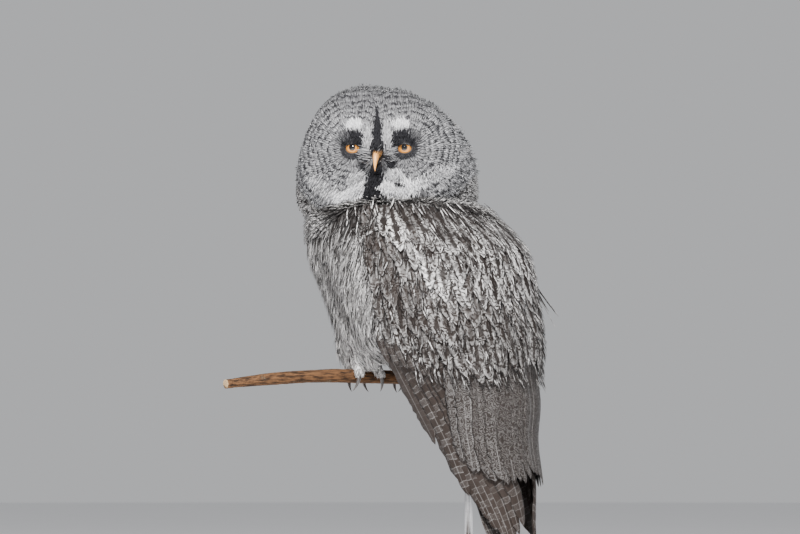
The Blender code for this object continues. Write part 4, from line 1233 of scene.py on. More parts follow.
def lay_on_face(plumes, left, up, aside, above, length, half, sunk, lift, profile, chance, bow=0.06, **more):
    """Feathers from (left, up) on the face towards (aside, above)."""
    count = len(left)
    size = np.hypot(aside, above)
    aside, above = aside / size, above / size
    shares = np.array([share for share, _ in profile])
    reach = np.broadcast_to(length, (count,))[:, None] * shares
    bend = (chance.normal(0, bow, count) * np.broadcast_to(length, (count,)))[:, None] * shares**2
    lefts = left[:, None] + reach * aside[:, None] + bend * above[:, None]
    ups = up[:, None] + reach * above[:, None] - bend * aside[:, None]
    centre = face_place(lefts, ups)
    ahead = unit(np.gradient(centre, axis=1))
    sideways = unit(np.cross(ahead, FACE))
    half_rows = np.broadcast_to(half, (count,))[:, None] * widths(profile, shares)
    sunk, lift = np.broadcast_to(sunk, (count,)), np.broadcast_to(lift, (count,))
    level = sunk[:, None] + (lift - sunk)[:, None] * shares**1.2
    plumes.add(centre, sideways, half_rows, level, onto_face, luck=chance.random(count), **more)


# Tufts of the face in the head's own directions, each (how many, the line their roots lie along, their
# spread, the way they point, length, half width, lift, paleness)
FACE_TUFTS = (
    (150, ((0.0205, 0.0735), (0.0335, 0.0730)), 0.0022, (0.10, 1.0), 0.0110, 0.0007, 0.0046, 0.98),
    (150, ((-0.0250, 0.0735), (-0.0385, 0.0730)), 0.0022, (-0.10, 1.0), 0.0110, 0.0007, 0.0046, 1.05),
    # Dark tufts above and over the eyes: partly dark feathers, partly painted shade under the brows.
    (120, ((0.0190, 0.0590), (0.0350, 0.0640)), 0.0028, (0.12, 1.0), 0.0090, 0.0007, 0.0058, 0.015),
    (50, ((0.0340, 0.0640), (0.0440, 0.0600)), 0.0028, (0.50, 0.9), 0.0100, 0.0006, 0.0050, 0.20),
    (120, ((-0.0205, 0.0590), (-0.0380, 0.0630)), 0.0028, (-0.12, 1.0), 0.0090, 0.0007, 0.0058, 0.015),
    (50, ((-0.0370, 0.0630), (-0.0470, 0.0590)), 0.0028, (-0.50, 0.9), 0.0100, 0.0006, 0.0050, 0.20),
    (150, ((0.0210, 0.0620), (0.0430, 0.0625)), 0.0014, (0.10, -1.0), 0.0090, 0.0006, 0.0085, 0.01),
    (150, ((-0.0225, 0.0620), (-0.0440, 0.0620)), 0.0014, (-0.10, -1.0), 0.0090, 0.0006, 0.0085, 0.01),
    (130, ((0.0110, 0.0440), (0.0090, 0.0700)), 0.0022, (0.10, 1.0), 0.0140, 0.0006, 0.0042, 0.62),
    (130, ((-0.0150, 0.0440), (-0.0130, 0.0680)), 0.0022, (-0.10, 1.0), 0.0140, 0.0006, 0.0042, 0.62),
    (160, ((-0.0010, 0.0460), (-0.0018, 0.0740)), 0.0024, (0.0, 1.0), 0.0115, 0.0007, 0.0046, 0.01),
    (44, ((-0.0020, 0.0760), (-0.0036, 0.0960)), 0.0009, (-0.05, 1.0), 0.0090, 0.0006, 0.0040, 0.03),
    (130, ((-0.0060, 0.0600), (0.0050, 0.0600)), 0.0014, (0.0, -1.0), 0.0160, 0.0008, 0.0235, 0.03),
    (24, ((-0.0070, 0.0580), (0.0060, 0.0580)), 0.0018, (0.0, -1.0), 0.0140, 0.0005, 0.0230, 0.40),
    (130, ((-0.0070, 0.0310), (0.0065, 0.0310)), 0.0018, (0.0, -1.0), 0.0130, 0.0007, 0.0110, 0.02),
    (26, ((0.0026, 0.0300), (0.0060, 0.0300)), 0.0006, (-0.25, -1.0), 0.0120, 0.0007, 0.0180, 0.02),
    (70, ((0.0060, 0.0480), (0.0070, 0.0330)), 0.0015, (1.0, 0.10), 0.0175, 0.0005, 0.0066, 0.50),
    (70, ((-0.0070, 0.0480), (-0.0080, 0.0330)), 0.0015, (-1.0, 0.10), 0.0175, 0.0005, 0.0066, 0.50),
    (80, ((0.0065, 0.0440), (0.0080, 0.0300)), 0.0020, (1.0, -0.40), 0.0150, 0.0006, 0.0060, 0.02),
    (80, ((-0.0075, 0.0420), (-0.0090, 0.0270)), 0.0020, (-1.0, -0.40), 0.0150, 0.0006, 0.0060, 0.05),
    (60, ((0.0050, 0.0380), (0.0060, 0.0280)), 0.0012, (0.55, -1.0), 0.0130, 0.0005, 0.0090, 0.22),
    (60, ((-0.0060, 0.0380), (-0.0070, 0.0280)), 0.0012, (-0.55, -1.0), 0.0130, 0.0005, 0.0090, 0.30),
    (240, ((0.0110, 0.0225), (0.0270, 0.0215)), 0.0026, (0.35, -1.0), 0.0105, 0.0008, 0.0090, 0.84),
    (46, ((0.0200, 0.0070), (0.0310, 0.0045)), 0.0009, (0.7, -0.5), 0.0065, 0.0006, 0.0135, 0.05),
    (170, ((-0.0150, 0.0230), (-0.0310, 0.0100)), 0.0030, (-0.45, -1.0), 0.0110, 0.0008, 0.0066, 0.66),
    (420, ((0.0050, 0.0110), (0.0440, 0.0060)), 0.0036, (0.22, -1.0), 0.0150, 0.0009, 0.0082, 1.12),
    (60, ((0.0440, 0.0080), (0.0580, 0.0160)), 0.0030, (0.35, -0.95), 0.0110, 0.0008, 0.0056, 0.95),
    (120, ((0.0560, 0.0150), (0.0880, 0.0320)), 0.0040, (0.35, -0.95), 0.0100, 0.0008, 0.0056, 0.66),
    (360, ((-0.0165, 0.0110), (-0.0450, -0.0095)), 0.0026, (-0.30, -1.0), 0.0130, 0.0009, 0.0082, 1.12),
    (60, ((-0.0440, -0.0080), (-0.0560, -0.0020)), 0.0036, (-0.35, -0.95), 0.0120, 0.0008, 0.0056, 0.95),
    (140, ((-0.0540, -0.0030), (-0.0830, 0.0180)), 0.0042, (-0.35, -0.95), 0.0110, 0.0008, 0.0056, 0.66),
    (420, ((-0.0020, 0.0240), (-0.0040, -0.0120)), 0.0050, (-0.05, -1.0), 0.0170, 0.0009, 0.0072, 0.01),
    (260, ((-0.0040, -0.0120), (-0.0100, -0.0420)), 0.0095, (-0.15, -1.0), 0.0210, 0.0010, 0.0070, 0.02),
)


class OWL_OT_face_tufts(bpy.types.Operator):
    """Adds brows, the bristles round the bill, the moustache, the black bib and the rims of the eyes"""

    bl_idname = "owl.face_tufts"
    bl_label = "Brows, moustache and bib"

    def execute(self, context):
        chance = np.random.default_rng(17)
        tufts = Plumage("face_tufts", face_plumage(context), "face_plumage")
        for count, line, spread, way, length, half, lift, pale in FACE_TUFTS:
            (l0, u0), (l1, u1) = line
            share = chance.random(count)
            left = l0 + (l1 - l0) * share + chance.normal(0, spread, count)
            up = u0 + (u1 - u0) * share + chance.normal(0, spread, count)
            aside = way[0] + chance.normal(0, 0.16, count)
            above = way[1] + chance.normal(0, 0.10, count)
            tone = pale * chance.uniform(0.62, 1.16, count)
            tint = plain_tint(tone)
            lay_on_face(
                tufts, left, up, aside, above, length * chance.uniform(0.75, 1.15, count), half,
                -0.0022, lift * chance.uniform(0.4, 1.1, count), LOCK_TIP, chance, bow=0.10, tint=tint,
            )
        for side in (-1, 1):
            for radius, count, length in ((0.0094, 66, 0.0042), (0.0110, 76, 0.0058)):
                turn = np.linspace(0, 2 * pi, count, endpoint=False) + chance.normal(0, 0.02, count)
                left = side * EYE_APART / 2 + radius * np.cos(turn)
                up = EYE_UP + np.where(np.sin(turn) > 0, 0.64, 0.86) * radius * np.sin(turn)
                tint = plain_tint(chance.uniform(0.01, 0.08, count))
                lay_on_face(
                    tufts, left, up, np.cos(turn), np.sin(turn), length, 0.0007,
                    0.0006, 0.0012, LOCK_TIP, chance, tint=tint,
                )
        tufts.make()
        return {"FINISHED"}


class OWL_OT_head_feathers(bpy.types.Operator):
    """Lays the barred feathers of crown, nape, cheeks and ruff"""

    bl_idname = "owl.head_feathers"
    bl_label = "Crown and nape"

    def execute(self, context):
        chance = np.random.default_rng(23)
        skin = owl_skin()

        def inside(points):
            left, forward, up = in_head(points)
            disc = (forward > 0.015) & (from_nearer_eye(left, up) < DISC_RADIUS - 0.003)
            return (head_share(points) > 0.5) & ~disc

        roots = skin.scatter(context.scene.owl_coat.head_spacing, inside, chance)
        plumes = Plumage("head_feathers", plumage(context), "plumage")
        nape = smooth_step(-in_head(roots)[1], -0.03, 0.05)
        count = len(roots)
        lay_on_skin(
            plumes, skin, roots, lie(roots), 0.0125 + 0.0045 * nape + chance.normal(0, 0.001, count),
            0.0024 + 0.0008 * nape, 0.0008, 0.0078 + chance.normal(0, 0.0006, count), LOCK_TIP, chance,
            tint=coat_tint(roots) + chance.normal(0, 0.05, (count, 3)) * (1, 0, 0), warmth=0.12,
        )
        plumes.make()
        return {"FINISHED"}


def body_zone(points):
    """Breast, belly, flanks, rump and the strip of back between the wings."""
    turn = np.abs(turn_of(FOLDED, points))
    height = points[:, 2]
    front = (turn > 84) | (height > 0.185)
    back = (turn < 16) & (height > 0.0)
    low = height < 0.03
    return (head_share(points) <= 0.5) & (front | back | low) & ~leg_zone(points)


def on_shoulder(points):
    """1 where the coat lies over the tops of the wings and 0 elsewhere."""
    turn = np.abs(turn_of(FOLDED, points))
    return (1 - smooth_step(turn, 78, 92)) * smooth_step(points[:, 2], 0.172, 0.192)


def leg_zone(points):
    """Legs and toes."""
    found = np.zeros(len(points), bool)
    for side in (-1, 1):
        place = foot_place(side)
        away = np.hypot((points[:, 0] - place[0]) / 0.040, (points[:, 1] - place[1] - 0.004) / 0.050)
        found |= (away < 1.0) & (points[:, 2] < 0.052)
    return found


def body_roots(skin, spacing, chance):
    """Roots of a layer of the body's coat, with shares of the underside, level skin, cape and shoulder."""
    roots = skin.scatter(spacing, body_zone, chance)
    under = smooth_step(0.03 - roots[:, 2], -0.01, 0.03)
    flat = smooth_step(skin.normal_at(roots)[:, 2], 0.25, 0.75)
    shoulder = on_shoulder(roots)
    return roots, len(roots), under, flat, shoulder * (1 - flat), shoulder


class OWL_OT_body_feathers(bpy.types.Operator):
    """Lays the soft feathers of breast, belly, flanks and back, and the fine plumes over them"""

    bl_idname = "owl.body_feathers"
    bl_label = "Breast and belly"

    def execute(self, context):
        chance = np.random.default_rng(31)
        skin = owl_skin()
        spacing = context.scene.owl_coat.body_spacing
        roots, count, under, flat, cape, shoulder = body_roots(skin, spacing, chance)
        length = (0.030 - 0.010 * under - 0.011 * shoulder) * chance.uniform(0.8, 1.15, count)
        feathers = Plumage("body_feathers", plumage(context), "plumage")
        way = lie(roots) + chance.normal(0, 0.22, (count, 3)) * shoulder[:, None]
        lay_on_skin(
            feathers, skin, roots, way, length, 0.0052, 0.0004,
            0.0070 - 0.0035 * flat + 0.0066 * cape + chance.normal(0, 0.0008, count),
            SOFT_TIP, chance,
            tint=coat_tint(roots) + chance.normal(0, 0.09, (count, 3)) * (1, 0, 0), warmth=0.25,
        )
        feathers.make()
        roots, count, under, flat, cape, shoulder = body_roots(skin, spacing * 0.60, chance)
        length = (0.037 - 0.014 * under - 0.020 * shoulder) * chance.uniform(0.7, 1.2, count)
        tint = coat_tint(roots) * (1.15, 0, 0.6)
        tint[:, 0] *= 1 - 0.32 * shoulder
        tint[:, 2] += 0.4 * shoulder
        tint[:, 0] *= chance.choice([0.22, 0.7, 1.0, 1.25], count, p=[0.24, 0.22, 0.32, 0.22])
        plumes = Plumage("body_plumes", plumage(context), "plumage")
        flow = np.sin(roots @ (70.0, 55.0, 32.0))[:, None] * np.cross(unit(roots * (1, 1, 0)), UP) * 0.16
        loose = chance.normal(0, 1, (count, 3)) * (0.06 + 0.14 * shoulder[:, None])
        lay_on_skin(
            plumes, skin, roots, lie(roots) + flow + loose, length, 0.0009, 0.0028,
            0.0092 - 0.0055 * flat + 0.0060 * cape + chance.normal(0, 0.0012, count),
            LOCK_TIP, chance, bow=0.14, tint=tint, warmth=0.15,
        )
        plumes.make()
        return {"FINISHED"}


class OWL_OT_leg_feathers(bpy.types.Operator):
    """Lays the short hair-like tufts of legs and toes"""

    bl_idname = "owl.leg_feathers"
    bl_label = "Legs and toes"

    def execute(self, context):
        chance = np.random.default_rng(37)
        skin = owl_skin()
        spacing = context.scene.owl_coat.leg_spacing
        tufts = Plumage("leg_feathers", plumage(context), "plumage")
        for share, low, high in ((1.0, 0.016, 0.060), (0.60, -0.030, 0.018)):
            roots = skin.scatter(
                spacing * share, lambda p: leg_zone(p) & (p[:, 2] > low) & (p[:, 2] <= high), chance,
            )
            count = len(roots)
            toes = 1 - smooth_step(roots[:, 2], 0.008, 0.026)
            length = (0.027 - 0.0175 * toes) * chance.uniform(0.75, 1.2, count)
            place = np.where((roots[:, :1] > 0), foot_place(1), foot_place(-1))
            out = unit((roots - place) * (1, 1, 0))
            way = -UP + 0.40 * out * (1 - toes[:, None]) + chance.normal(0, 0.10, (count, 3))
            tone = chance.uniform(0.70, 1.25, count) * (1 - 0.12 * toes)
            tint = plain_tint(tone, 0.25)
            lay_on_skin(
                tufts, skin, roots, way, length, 0.0013 - 0.0006 * toes, 0.0006, 0.0062 - 0.0036 * toes,
                LOCK_TIP, chance, bow=0.16, tint=tint, warmth=0.2,
            )
        tufts.make()
        return {"FINISHED"}


# Rows of feathers on a folded wing. Each value runs from the wing's front edge over its middle to its rear
# edge: where roots and tips lie as heights and degrees round from the back, half widths, and how far out the
# tips lie. Then how many, how far out the roots lie, how steeply a feather's front edge stands over the next,
# and paleness, streaks, bars, warmth.
FLIGHT_ROWS = (
    (
        (0.046, 0.036, 0.022), (104, 88, 66), (-0.088, -0.196, -0.185), (124, 86, 26),
        (0.0125, 0.0150, 0.0155), (-0.0005, -0.0046, -0.0087), 10, -0.0090, 0.20, (0.12, 1.0, 0.04), 0.9,
    ),
    (
        (0.080, 0.072, 0.064), (97, 88, 78), (0.012, 0.002, -0.008), (110, 96, 82), (0.0085, 0.0095, 0.0100),
        (-0.0010, -0.0022, -0.0030), 6, -0.0066, 0.13, (0.18, 0.9, 0.20), 0.8,
    ),
    (
        (0.040, 0.048, 0.056), (57, 30, 3), (-0.108, -0.134, -0.120), (92, 50, 4), (0.0130, 0.0155, 0.0155),
        (-0.0014, -0.0014, -0.0012), 12, -0.0080, 0.14, (0.10, 0.20, 1.00), 0.5,
    ),
)
COVERT_ROWS = (
    (
        (0.090, 0.074, 0.080), (90, 50, 5), (0.034, -0.006, 0.012), (97, 54, 5), (0.0105, 0.0120, 0.0120),
        (0.0006, 0.0006, 0.0006), 15, -0.0066, 0.15, (0.46, 0.75, 1.00), 0.45,
    ),
    (
        (0.118, 0.100, 0.104), (90, 50, 5), (0.064, 0.028, 0.046), (95, 53, 5), (0.0100, 0.0115, 0.0115),
        (0.0006, 0.0006, 0.0006), 15, -0.0066, 0.15, (0.42, 0.85, 1.00), 0.5,
    ),
    (
        (0.144, 0.126, 0.128), (89, 50, 5), (0.092, 0.060, 0.076), (93, 52, 5), (0.0095, 0.0110, 0.0110),
        (0.0004, 0.0004, 0.0004), 15, -0.0066, 0.15, (0.44, 0.55, 0.90), 0.6,
    ),
    (
        (0.170, 0.152, 0.152), (88, 52, 7), (0.120, 0.094, 0.106), (91, 53, 6), (0.0088, 0.0100, 0.0100),
        (-0.0004, -0.0002, -0.0004), 15, -0.0070, 0.15, (0.36, 0.45, 0.90), 0.65,
    ),
    (
        (0.196, 0.180, 0.178), (86, 54, 9), (0.148, 0.124, 0.134), (89, 55, 8), (0.0085, 0.0095, 0.0095),
        (-0.0014, -0.0010, -0.0014), 15, -0.0076, 0.15, (0.34, 0.45, 0.90), 0.6,
    ),
    (
        (0.206, 0.200, 0.196), (82, 56, 12), (0.170, 0.152, 0.158), (86, 57, 10), (0.0080, 0.0090, 0.0090),
        (-0.0028, -0.0020, -0.0024), 15, -0.0082, 0.15, (0.38, 0.45, 0.85), 0.55,
    ),
)
SCAPULAR_ROWS = (
    (
        (0.180, 0.172, 0.160), (62, 34, 4), (0.116, 0.072, 0.090), (68, 38, 4), (0.0120, 0.0140, 0.0125),
        (0.0022, 0.0022, 0.0018), 10, -0.0066, 0.14, (0.66, 1.0, 1.0), 0.35,
    ),
    (
        (0.202, 0.194, 0.182), (67, 38, 5), (0.142, 0.106, 0.118), (72, 41, 5), (0.0110, 0.0130, 0.0120),
        (0.0020, 0.0022, 0.0018), 10, -0.0060, 0.14, (0.66, 1.0, 1.0), 0.35,
    ),
    (
        (0.205, 0.202, 0.197), (70, 42, 6), (0.166, 0.138, 0.146), (75, 44, 6), (0.0100, 0.0115, 0.0110),
        (0.0010, 0.0014, 0.0008), 11, -0.0085, 0.14, (0.58, 0.95, 1.0), 0.3,
    ),
)
# Patches of a wing that are paler or darker: height, degrees round from the back, half sizes, and how much
# The darker patches are partly darker plumage and partly painted shade in the gaps between scapulars and
# coverts
# and between wing and flank.
WING_MARKS_AND_SHADE = (
    (0.205, 74, 0.014, 7, 1.35),
    (0.175, 74, 0.016, 6, 1.35),
    (0.146, 68, 0.014, 6, 1.30),
    (0.126, 64, 0.013, 5, 1.45),
    (0.096, 60, 0.013, 5, 1.45),
    (0.109, 47, 0.014, 5, 1.35),
    (0.144, 50, 0.012, 4, 1.25),
    (0.171, 62, 0.010, 4, 1.25),
    (0.202, 44, 0.012, 6, 0.40),
    (0.170, 46, 0.012, 5, 0.45),
    (0.180, 60, 0.011, 4, 0.50),
    (0.194, 21, 0.014, 6, 0.45),
    (0.144, 59, 0.011, 4, 0.45),
    (0.128, 42, 0.012, 6, 0.50),
    (0.096, 80, 0.016, 6, 0.55),
    (0.060, 76, 0.014, 5, 0.60),
    (0.160, 84, 0.020, 5, 0.60),
)
# The loose shoulder feathers of the owl's right wing, which stand off its outline, as one more row
LOOSE_ROW = (
    (0.130, 0.126, 0.122), (37, 33, 30), (0.078, 0.070, 0.062), (33, 29, 26), (0.0080, 0.0080, 0.0070),
    (0.0120, 0.0210, 0.0150), 3, -0.0066, 0.10, (0.70, 0.95, 0.70), 0.4,
)
LONG_SHARES = np.concatenate([np.linspace(0, 0.84, 26), (0.88, 0.91, 0.94, 0.965, 0.985, 1.0)])
SHORT_SHARES = np.concatenate([np.linspace(0, 0.80, 14), (0.85, 0.90, 0.94, 0.97, 0.99, 1.0)])


def wing_tone(points):
    """How much paler or darker a wing is at places, with painted shade in its gaps."""
    height, turn = points[..., 2], turn_of(FOLDED, points)
    tone = np.ones(height.shape)
    for mark_height, mark_turn, tall, wide, much in WING_MARKS_AND_SHADE:
        near = np.exp(-(((height - mark_height) / tall) ** 2) - ((turn - mark_turn) / wide) ** 2)
        tone *= 1 + (much**1.5 - 1) * near
    return tone


def along_wing(height, turn):
    """Lines on the folded wings' outline, and the way across them."""
    centre = on_outline(FOLDED, height, turn)
    behind, half_width, half_depth = np.moveaxis(through(FOLDED, height), -1, 0)
    off_axis = centre[..., 0] / half_width**2, (centre[..., 1] - behind) / half_depth**2, 0 * height
    return centre, unit(np.cross(np.gradient(centre, axis=1), unit(np.stack(off_axis, -1))))


def wing_row(plumes, row, side, shares, columns, chance, profile=ROUND_TIP, cells=True, loose=1.0, tint=None):
    """One row of feathers along a folded wing, from its front edge to its rear."""
    root_z, root_turn, tip_z, tip_turn, halves, tip_out, count, root_out, tilt, base_tint, warmth = row
    place = np.arange(count) / (count - 1)
    z0 = quadratic(root_z, place)
    t0 = quadratic(root_turn, place)
    z1 = quadratic(tip_z, place) + chance.normal(0, 0.0022 * loose, count)
    t1 = quadratic(tip_turn, place) + chance.normal(0, 0.9 * loose, count)
    half = quadratic(halves, place) * chance.uniform(0.94, 1.08, count)
    out = quadratic(tip_out, place) + chance.normal(0, 0.0005 * loose, count) + 0.0004 * side
    height = z0[:, None] + (z1 - z0)[:, None] * shares
    turn = t0[:, None] + (t1 - t0)[:, None] * shares
    centre, sideways = along_wing(height, turn)
    half_rows = half[:, None] * widths(profile, shares)
    level = root_out + (out - root_out)[:, None] * shares
    tints = np.tile(base_tint, (count, 1)) if tint is None else tint(place, base_tint)
    tints = tints * (1 + chance.normal(0, 0.15, (count, 3)) * (1, 1, 0.5))
    across = np.linspace(-1, 1, columns)
    near, far = chance.uniform(-0.40, 0.06, (2, count, len(shares), 1)) * (0.35 + 0.65 * shares[:, None])
    plumes.add(
        centre, sideways, half_rows, level, onto_folded, columns=columns, thick=0.0006, side=side,
        cells=cells,
        marks=wing_tone, tilt=tilt, camber=0.10, tint=tints, warmth=warmth,
        luck=chance.random(count) * 0.4 + 0.5 * (np.arange(count) % 2),
        ragged=np.where(across < 0, near, far),
    )


def primary_tint(place, base):
    """The outermost feather is plain brownish grey and the others are chequered."""
    tint = np.tile(base, (len(place), 1)).astype(float)
    tint[0] = (0.6, 0.06, 0.0)
    return tint


class OWL_OT_flight_feathers(bpy.types.Operator):
    """Lays the primaries, their coverts and the secondaries of both folded wings"""

    bl_idname = "owl.flight_feathers"
    bl_label = "Flight feathers"

    def execute(self, context):
        chance = np.random.default_rng(41)
        primaries, coverts, secondaries = FLIGHT_ROWS
        for name, rows in (
            ("primary_feathers", (primaries, coverts)), ("secondary_feathers", (secondaries,)),
        ):
            plumes = Plumage(name, vanes(context), "vanes")
            for row in rows:
                for side in (-1, 1):
                    tint = primary_tint if row is primaries else None
                    wing_row(plumes, row, side, LONG_SHARES, 7, chance, tint=tint)
            plumes.make()
        return {"FINISHED"}


class OWL_OT_wing_coverts(bpy.types.Operator):
    """Lays the coverts of both wings and the pale streaked scapulars over them"""

    bl_idname = "owl.wing_coverts"
    bl_label = "Coverts and scapulars"

    def execute(self, context):
        chance = np.random.default_rng(43)
        for name, rows in (("wing_coverts", COVERT_ROWS), ("scapular_feathers", SCAPULAR_ROWS)):
            plumes = Plumage(name, plumage(context), "plumage")
            for row in rows:
                for side in (-1, 1):
                    wing_row(plumes, row, side, SHORT_SHARES, 7, chance, COVERT_TIP, loose=1.6)
            if rows is SCAPULAR_ROWS:
                wing_row(plumes, LOOSE_ROW, -1, SHORT_SHARES, 7, chance, COVERT_TIP)
            plumes.make()
        return {"FINISHED"}


class OWL_OT_wing_plumes(bpy.types.Operator):
    """Scatters fine loose barbs over coverts and scapulars, so that their edges run together"""

    bl_idname = "owl.wing_plumes"
    bl_label = "Loose barbs of the wings"

    def execute(self, context):
        chance = np.random.default_rng(53)
        plumes = Plumage("wing_plumes", plumage(context), "plumage")
        shares = np.array([share for share, _ in LOCK_TIP])
        for side in (-1, 1):
            count = WING_PLUMES
            height = 0.214 - 0.222 * chance.random(count) ** 0.9
            turn = chance.uniform(4, 95, count)
            length = chance.uniform(0.009, 0.017, count)
            drift = chance.normal(0.8, 1.3, count)
            centre, sideways = along_wing(
                height[:, None] - length[:, None] * shares, turn[:, None] + drift[:, None] * shares
            )
            high = smooth_step(height, 0.15, 0.21)
            level = -0.0016 - 0.0022 * high[:, None] + 0.0052 * shares
            clump = np.sin(height * 330 + np.sin(turn * 0.21) * 2.1) * np.sin(turn * 0.42 + height * 60)
            scapular = smooth_step(height + 0.0012 * (50 - turn), 0.10, 0.15)
            tone = (0.45 + 0.40 * scapular) * (1 + 0.5 * clump) * chance.choice(
                [0.15, 0.8, 1.5], count, p=[0.36, 0.34, 0.30],
            )
            tint = plain_tint(tone, 0.7)
            half = chance.uniform(0.0007, 0.0012, count)[:, None] * widths(LOCK_TIP, shares)
            plumes.add(
                centre, sideways, half, level, onto_folded, side=side, tint=tint, marks=wing_tone,
                warmth=0.4, luck=chance.random(count),
            )
        plumes.make()
        return {"FINISHED"}


class OWL_OT_tail_feathers(bpy.types.Operator):
    """Lays the twelve feathers of the closed tail"""

    bl_idname = "owl.tail_feathers"
    bl_label = "Tail"

    def execute(self, context):
        chance = np.random.default_rng(47)
        plumes = Plumage("tail_feathers", vanes(context), "vanes")
        run = np.array((0.0, TAIL_TIP[1] - TAIL_ROOT[1], TAIL_TIP[0] - TAIL_ROOT[0]))
        normal = unit(np.cross(run, (-1.0, 0.0, 0.0)))
        normal = normal * np.sign(normal[1])
        centres, halves = [], []
        for pair in range(6):
            for side in (-1, 1):
                along = TAIL_FROM + LONG_SHARES * (1 - TAIL_FROM - TAIL_SHORTER * pair)
                apart = 0.0012 + along * 0.0030
                x = side * apart * (pair + 0.6) + side * 0.0125 * 0.35 * np.sign(pair)
                layer = -0.0014 * (pair + 2.2 if pair else 1.2 - 0.5 * side)
                y = TAIL_ROOT[1] + along * run[1] + layer - TAIL_ARCH * np.abs(x)
                centres.append(np.stack([x, y, TAIL_ROOT[0] + along * run[2]], -1))
                halves.append(TAIL_HALF * widths(ROUND_TIP, LONG_SHARES))
        centre, half = np.array(centres), np.array(halves)
        count = len(centre)
        sideways = unit(np.cross(np.gradient(centre, axis=1), normal))
        plumes.add(
            centre, sideways, half, np.zeros(half.shape),
            lambda points, out: points + normal * np.asarray(out)[..., None],
            columns=7, thick=0.0006, cells=True, camber=0.12,
            tint=np.tile((0.24, 0.75, 0.25), (count, 1)), warmth=0.8, luck=chance.random(count),
            ragged=chance.uniform(-0.06, 0.03, (count, len(LONG_SHARES), 1)) * np.ones(7),
        )
        plumes.make()
        return {"FINISHED"}


# Eyes, bill, claws, perch and stand


def turned_rings(middle, radii, polars, sides):
    """Rings round the way the face looks, at radii and angles from it."""
    turn = np.linspace(0, 2 * pi, sides, endpoint=False)
    around = FACE_LEFT * np.cos(turn)[:, None] + FACE_UP * np.sin(turn)[:, None]
    ahead = (radii * np.cos(polars))[:, None, None] * FACE
    return middle + ahead + (radii * np.sin(polars))[:, None, None] * around


def eye_finish(colours):
    """A wet yellow iris round a black pupil, under a clear coat."""
    finish = Finish("eye_finish", Roughness=0.12, Coat_Weight=1.0, Coat_Roughness=0.02)
    aside, up = finish.on_head()
    aside, above = aside - EYE_APART / 2, up - EYE_UP
    away = finish.away(aside, above)
    turn = finish.maths("ARCTAN2", above, aside)
    fibres = finish.sine(turn * 46 + finish.noise(500, 2) * 14) * 0.5 + 0.5
    iris = finish.mix(
        fibres * 0.35 + finish.step(away, 0.0044, 0.0080) * 0.35, colours.iris, (0.42, 0.13, 0.02),
    )
    ring = finish.step(away + finish.noise(700, 1) * 0.0003, IRIS_RADIUS - 0.0004, IRIS_RADIUS + 0.0004)
    colour = finish.mix(ring, iris, (0.012, 0.009, 0.008))
    pupil = 1 - finish.step(away, PUPIL_RADIUS - 0.0002, PUPIL_RADIUS + 0.0002)
    return finish.paint(finish.mix(pupil, colour, (0.002, 0.002, 0.002)))


def lid_finish():
    finish = Finish("lid_finish", Specular_IOR_Level=0.4)
    tone = finish.noise(900, 3)
    finish.bump(finish.noise(1500, 2), 0.4, 0.0003)
    return finish.paint(finish.mix(tone, (0.010, 0.010, 0.011), (0.045, 0.042, 0.042)), 0.45 + tone * 0.2)


class OWL_OT_eyes(bpy.types.Operator):
    """Makes the two eyeballs with their bulging fronts, and the dark lids round them"""

    bl_idname = "owl.eyes"
    bl_label = "Eyes and lids"

    def execute(self, context):
        finish, lids, shells = eye_finish(context.scene.owl_colours), lid_finish(), []
        polar = np.linspace(0, pi, 50)[1:-1]
        bulge = EYE_RADIUS + 0.0009 * np.exp(-((polar / 0.50) ** 2))
        turn = np.linspace(0, 2 * pi, 72, endpoint=False)
        for side, word in ((1, "left"), (-1, "right")):
            middle = head_place(side * EYE_APART / 2, EYE_FORWARD, EYE_UP)
            ball = closed_piece(
                f"eyeball_{word}", [loft_parts(turned_rings(middle, bulge, polar, 48))], finish,
            )
            keep(ball, "eye", f"eye_{word}")
            rings = []
            for size, radius in LID_RINGS:
                left = size * LID_WIDTH * np.cos(turn)
                brow = np.where(np.sin(turn) > 0, 0.58 + 0.70 * (size - 1), 1.0)
                up = size * LID_HEIGHT * np.sin(turn) * brow
                forward = np.sqrt(np.maximum(0.0, radius**2 - left**2 - up**2))
                rings.append(
                    middle + left[:, None] * FACE_LEFT + up[:, None] * FACE_UP + forward[:, None] * FACE
                )
            points = np.array(rings)
            count, sides = points.shape[:2]
            quads = ring_faces(count, sides)
            k = np.arange(sides)
            after = (k + 1) % sides
            top = (count - 1) * sides
            closing = np.stack([top + k, top + after, after, k], -1)
            shells.append((points.reshape(-1, 3), np.concatenate([quads, closing]), np.zeros((0, 3), int)))
        keep(closed_piece("eyelids", shells, lids), "face_plumage")
        return {"FINISHED"}


def bill_finish(colours):
    """Smooth horn, paler along the ridge and darker at its root, with faint growth lines."""
    finish = Finish("bill_finish", Coat_Weight=0.12, Coat_Roughness=0.2)
    aside, up = finish.on_head()
    lines = finish.noise(700, 3, (1.0, 1.0, 0.25))
    ridge = 1 - finish.step(aside, 0.0006, 0.0042)
    tone = ridge * 0.65 + lines * 0.4
    horn = finish.mix(
        tone, tuple(0.55 * c for c in colours.bill), tuple(min(1.0, 1.18 * c + 0.05) for c in colours.bill),
    )
    colour = finish.mix(finish.step(up, 0.0415, 0.0485) * 0.95, horn, (0.020, 0.016, 0.014))
    finish.bump(lines, 0.25, 0.0003)
    return finish.paint(colour, 0.26 + lines * 0.16)


